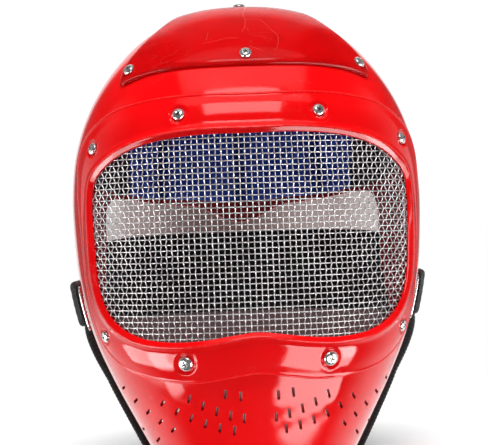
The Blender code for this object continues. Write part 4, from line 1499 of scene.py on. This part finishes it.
EDGING_FOOT = 4.5
EDGING_TOP = 95.2
# Corners of the channel's section: out from the shell's outer face, and past its edge.
EDGING_SECTION = (
    (0.9, -7.5),
    (3.4, -8.4),
    (6.4, -6.4),
    (6.8, 2.4),
    (4.2, 5.6),
    (-6.4, 5.6),
    (-8.6, 3.0),
    (-8.6, -6.0),
    (-7.0, -8.0),
    (-5.2, -7.5),
    (-5.2, 2.0),
    (0.9, 2.0),
)
EDGING_STEP = 0.55
# The binding was pulled tighter at the left, so that it stands out less there. Both swell towards
# their top, from one level up.
EDGING_SWELL = {"left": 1.0, "right": 1.38}
SWELL_FROM = 58
SWELL_RUN = 32
SWELL_MORE = 0.55
EDGING_MIDDLE = Vector((-1.8, -1.0))
EDGING_END_SHARE = 0.55
# The corners that lie beyond these are on the binding's outer side.
EDGING_OUTER = {"out": 1.5, "past": 3.2, "in": -5.8}
RIB_PITCH = 2.3
RIB_HEIGHT = 0.5

BINDING = black_cloth("black_binding", 0.8, 0.6, 0.14, (0.004, 0.004, 0.005, 1), (0.020, 0.020, 0.022, 1))
_edge = spline(REAR_EDGE, 12, closed=False)
_edge_ys = [point.x for point in _edge]
_edge_zs = [point.y for point in _edge]


def side_point(side, y, z, lift=0.0):
    """A point of the outer face straight in from the left (-1) or the right (+1)."""
    half_width, _, back = section_at(z)
    x = side * half_width * (1 - (y / back) ** BACK_SQUARENESS) ** (1 / BACK_SQUARENESS)
    return lifted(x, y, z, lift)


def edge_point(side, z):
    """The point of the shell's rear edge at a level."""
    return side_point(side, float(np.interp(z, _edge_zs, _edge_ys)), z)


_channel = spline(EDGING_SECTION, 3, closed=True)
for hand, side in HANDS:
    _rings = []
    count = int((EDGING_TOP - EDGING_FOOT) / EDGING_STEP)
    for i in range(count + 1):
        z = EDGING_FOOT + (EDGING_TOP - EDGING_FOOT) * i / count
        here = edge_point(side, z)
        along = (edge_point(side, z + 0.5) - edge_point(side, z - 0.5)).normalized()
        out = outward(*here)
        past = along.cross(out).normalized()
        if past.y < 0:
            past.negate()
        rib = RIB_HEIGHT * (abs(math.sin(math.pi * (z - EDGING_FOOT) / RIB_PITCH)) - 1)
        tuck = tapered(i, count, EDGING_END_SHARE)
        ring = []
        swollen = EDGING_SWELL[hand] * (1 + SWELL_MORE * min(1.0, max(0.0, (z - SWELL_FROM) / SWELL_RUN)))
        for a, b in _channel:
            corner = Vector((a * swollen if a > EDGING_OUTER["out"] else a, b))
            # Only the outer side is ribbed, and tucked in at the binding's ends.
            if a > EDGING_OUTER["out"] or b > EDGING_OUTER["past"] or a < EDGING_OUTER["in"]:
                corner += (corner - EDGING_MIDDLE).normalized() * rib
                corner = EDGING_MIDDLE + (corner - EDGING_MIDDLE) * tuck if tuck < 1 else corner
            ring.append(here + out * corner.x + past * corner.y)
        _rings.append(ring)
    _skin = capped(loft(_rings))
    solid = "jaw_edging_" + hand
    edging = finished("jaw_binding_" + hand, _skin, BINDING, "black_webbing", solid, sharp=70)

# ---------------------------------------------------------------- Studio
# A pale floor and a white surround behind, dark on the camera's side, with soft boxes low at both
# sides and above the camera. The camera is level, a little to the left, and rolled by 2.1 degrees.


def stage_sheet(name, place, size, finish):
    """A flat sheet of the stage, by its half width and half height in metres."""
    mesh_data = bmesh.new()
    stretched = place @ Matrix.Diagonal((*size, 1, 1))
    bmesh.ops.create_grid(mesh_data, x_segments=1, y_segments=1, size=1, matrix=stretched)
    made = in_scene(name, as_mesh(name, mesh_data))
    made.data.materials.append(finish)
    return made


# The floor is plain white paper. Mirror-like reflections look past it, as past a narrow table.
FLOOR_WHITE, _tree, _surface = new_material("pale_floor", {"Roughness": 0.8, "Specular IOR Level": 0.0})
_surface.inputs["Emission Color"].default_value = (1, 1, 1, 1)
_path = add_node(_tree, "ShaderNodeLightPath")
_away = add_node(_tree, "ShaderNodeVectorMath", {0: object_place(_tree)}, operation="LENGTH")
_far = ramp(_tree, _away.outputs["Value"], 0.15, 0.75)
_paper = mixed(_tree, _far, (0.92, 0.92, 0.92, 1), (0.0, 0.0, 0.0, 1))
_glow = product(_tree, maths(_tree, "MULTIPLY_ADD", _far, 0.72, 0.28), _path.outputs["Is Camera Ray"])
feed(_tree, _surface, {"Base Color": _paper, "Emission Strength": _glow})
_either = add_node(_tree, "ShaderNodeMixShader", {0: _path.outputs["Is Glossy Ray"]})
_tree.links.new(_surface.outputs[0], _either.inputs[1])
_tree.links.new(add_node(_tree, "ShaderNodeBsdfTransparent").outputs[0], _either.inputs[2])
_tree.links.new(_either.outputs[0], _tree.nodes["Material Output"].inputs["Surface"])
stage_sheet("floor", Matrix.Identity(4), (30.0, 30.0), FLOOR_WHITE)

SURROUND = bpy.data.worlds.new("surround")
SURROUND.use_nodes = True
bpy.context.scene.world = SURROUND
_tree = SURROUND.node_tree
_way = add_node(_tree, "ShaderNodeTexCoord").outputs["Generated"]
_way = add_node(_tree, "ShaderNodeSeparateXYZ", {"Vector": _way})
_y, _z = _way.outputs["Y"], _way.outputs["Z"]
_aside = maths(_tree, "ABSOLUTE", _way.outputs["X"])
_behind = product(_tree, ramp(_tree, _aside, 0.25, 0.60, 0.9, 0.0), ramp(_tree, _z, 0.9, 0.6))
_high = maths(_tree, "MAXIMUM", ramp(_tree, _z, 0.02, 0.40, 1.0, 0.22), _behind)
# Two dark flags stand behind at the sides, and draw the deep red line along the mask's outline.
_flag = product(_tree, ramp(_tree, _aside, 0.28, 0.38), ramp(_tree, _aside, 0.72, 0.80, 1.0, 0.0))
_flag = product(_tree, _flag, ramp(_tree, _z, -0.25, -0.10, 0.0, 0.85))
_open = maths(_tree, "SUBTRACT", 1.0, _flag)
_light = product(_tree, ramp(_tree, _y, -0.20, 0.50, 0.03, 1.15), _high, _open)
_seen = add_node(_tree, "ShaderNodeLightPath").outputs["Is Camera Ray"]
_background = _tree.nodes["Background"]
_background.inputs["Color"].default_value = (1, 1, 1, 1)
feed(_tree, _background, {"Strength": maths(_tree, "MAXIMUM", _light, _seen)})

# A small grey card stands upright close behind the mask and glows with painted shade: darker in the middle
# and low down, it tones down what shows through the mask's open back. It shows from straight ahead only, and
# in no reflection.
CARD_MIDDLE = (0.006, 0.131, 0.096)
CARD_HALF = (0.114, 0.094)
CARD_PAINTED_SHADE, _tree, _surface = new_material("grey_card", {"Roughness": 1.0, "Specular IOR Level": 0.0})
_surface.inputs["Base Color"].default_value = (0, 0, 0, 1)
_surface.inputs["Emission Strength"].default_value = 1.0
_spot = add_node(_tree, "ShaderNodeSeparateXYZ", {"Vector": object_place(_tree)})
_x, _z = _spot.outputs["X"], _spot.outputs["Z"]
_tone = (0.52, 0.47, 0.46, 1)
# Columns: from and to, across the card, and the tone of painted shade that it turns to there.
for low, high, tone in (
    (-0.100, -0.083, (0.33, 0.26, 0.25, 1)),
    (-0.092, -0.027, (0.11, 0.065, 0.062, 1)),
    (-0.002, 0.064, (0.34, 0.27, 0.26, 1)),
    (0.070, 0.107, (0.52, 0.46, 0.45, 1)),
):
    _tone = mixed(_tree, ramp(_tree, _x, low, high), _tone, tone)
# Columns: from and to, up the card, and the tone of painted shade that it has below.
for low, high, tone in ((0.108, 0.132, (0.080, 0.050, 0.050, 1)), (0.045, 0.062, (0.13, 0.03, 0.03, 1))):
    _tone = mixed(_tree, ramp(_tree, _z, low, high), tone, _tone)
_facing = add_node(_tree, "ShaderNodeLayerWeight", {"Blend": 0.5}).outputs["Facing"]
_front = maths(_tree, "SUBTRACT", 1.0, add_node(_tree, "ShaderNodeNewGeometry").outputs["Backfacing"])
# Its outline keeps inside that of the mask, which is narrow at the jaw.
_aside = maths(_tree, "ABSOLUTE", maths(_tree, "SUBTRACT", _x, 0.004))
_wide = maths(_tree, "SUBTRACT", _aside, ramp(_tree, _z, 0.030, 0.090, 0.058, 0.112))
_ahead = ramp(_tree, _facing, 0.012, 0.030, 1.0, 0.0)
_ahead = product(_tree, _ahead, _front, ramp(_tree, _wide, -0.006, 0.0, 1.0, 0.0))
feed(_tree, _surface, {"Emission Color": _tone, "Alpha": _ahead})
_upright = Matrix.Translation(CARD_MIDDLE) @ Matrix.Rotation(math.radians(90), 4, "X")
card = stage_sheet("card", _upright, CARD_HALF, CARD_PAINTED_SHADE)
for ray in ("diffuse", "glossy", "transmission", "shadow"):
    setattr(card, "visible_" + ray, False)

# Soft boxes by the way they lie from the mask, in degrees: left of the camera is negative, and
# radiance is in the surround's own unit. The bounce light is the even light of a white ceiling: it
# is too wide and too weak to show as a patch, so it is left out of mirror-like reflections.
# Columns: name, azimuth from and to, elevation from and to, distance, radiance, mirrored.
SOFT_BOXES = (
    ("soft_box_left", -80, -62, -34, -6, 1.2, 6.0, True),
    ("soft_box_right", 58, 74, -26, 4, 1.2, 6.0, True),
    ("low_box_left", -104, -44, -31, -12, 1.0, 6.5, True),
    ("low_box_right", 15, 74, -39, -14, 1.0, 7.0, True),
    ("soft_box_front", -22, 20, 41, 58, 1.8, 4.0, True),
    ("ceiling", -60, 60, 60, 88, 1.4, 0.45, True),
    ("bounce_top", -50, 50, 56, 84, 1.6, 8.2, False),
    ("bounce_front", -60, 50, -8, 30, 1.6, 0.60, False),
    ("bounce_left", -115, -80, -10, 35, 1.4, 1.9, False),
    ("bounce_right", 80, 115, -10, 35, 1.4, 1.6, False),
)
BOX_CENTRE = Vector((0.0, -0.06, 0.13))
for name, left, right, low, high, distance, radiance, mirrored in SOFT_BOXES:
    turn, rise = math.radians((left + right) / 2), math.radians((low + high) / 2)
    way = Vector((math.sin(turn) * math.cos(rise), -math.cos(turn) * math.cos(rise), math.sin(rise)))
    light = bpy.data.lights.new(name, "AREA")
    light.shape = "RECTANGLE"
    light.size = 2 * distance * math.tan(math.radians(right - left) / 2) * math.cos(rise)
    light.size_y = 2 * distance * math.tan(math.radians(high - low) / 2)
    light.energy = radiance * math.pi * light.size * light.size_y
    lamp = in_scene(name, light)
    lamp.location = BOX_CENTRE + way * distance
    lamp.rotation_euler = (-way).to_track_quat("-Z", "Y").to_euler()
    lamp.visible_camera = False
    lamp.visible_glossy = mirrored

CAMERA_PLACE = Vector((-0.0480, -1.2490, 0.1637))
CAMERA_AIM = Vector((-0.0018, 0.0, 0.1637))
CAMERA_ROLL = -2.1
CAMERA_LENS = 132.6
_lens = bpy.data.cameras.new("camera")
_lens.sensor_width = 36.0
_lens.lens = CAMERA_LENS
camera = in_scene("camera", _lens)
_look = (CAMERA_AIM - CAMERA_PLACE).to_track_quat("-Z", "Y").to_matrix().to_4x4()
_roll = Matrix.Rotation(math.radians(CAMERA_ROLL), 4, "Z")
camera.matrix_world = Matrix.Translation(CAMERA_PLACE) @ _look @ _roll
bpy.context.scene.camera = camera
bpy.context.scene.view_settings.view_transform = "Standard"
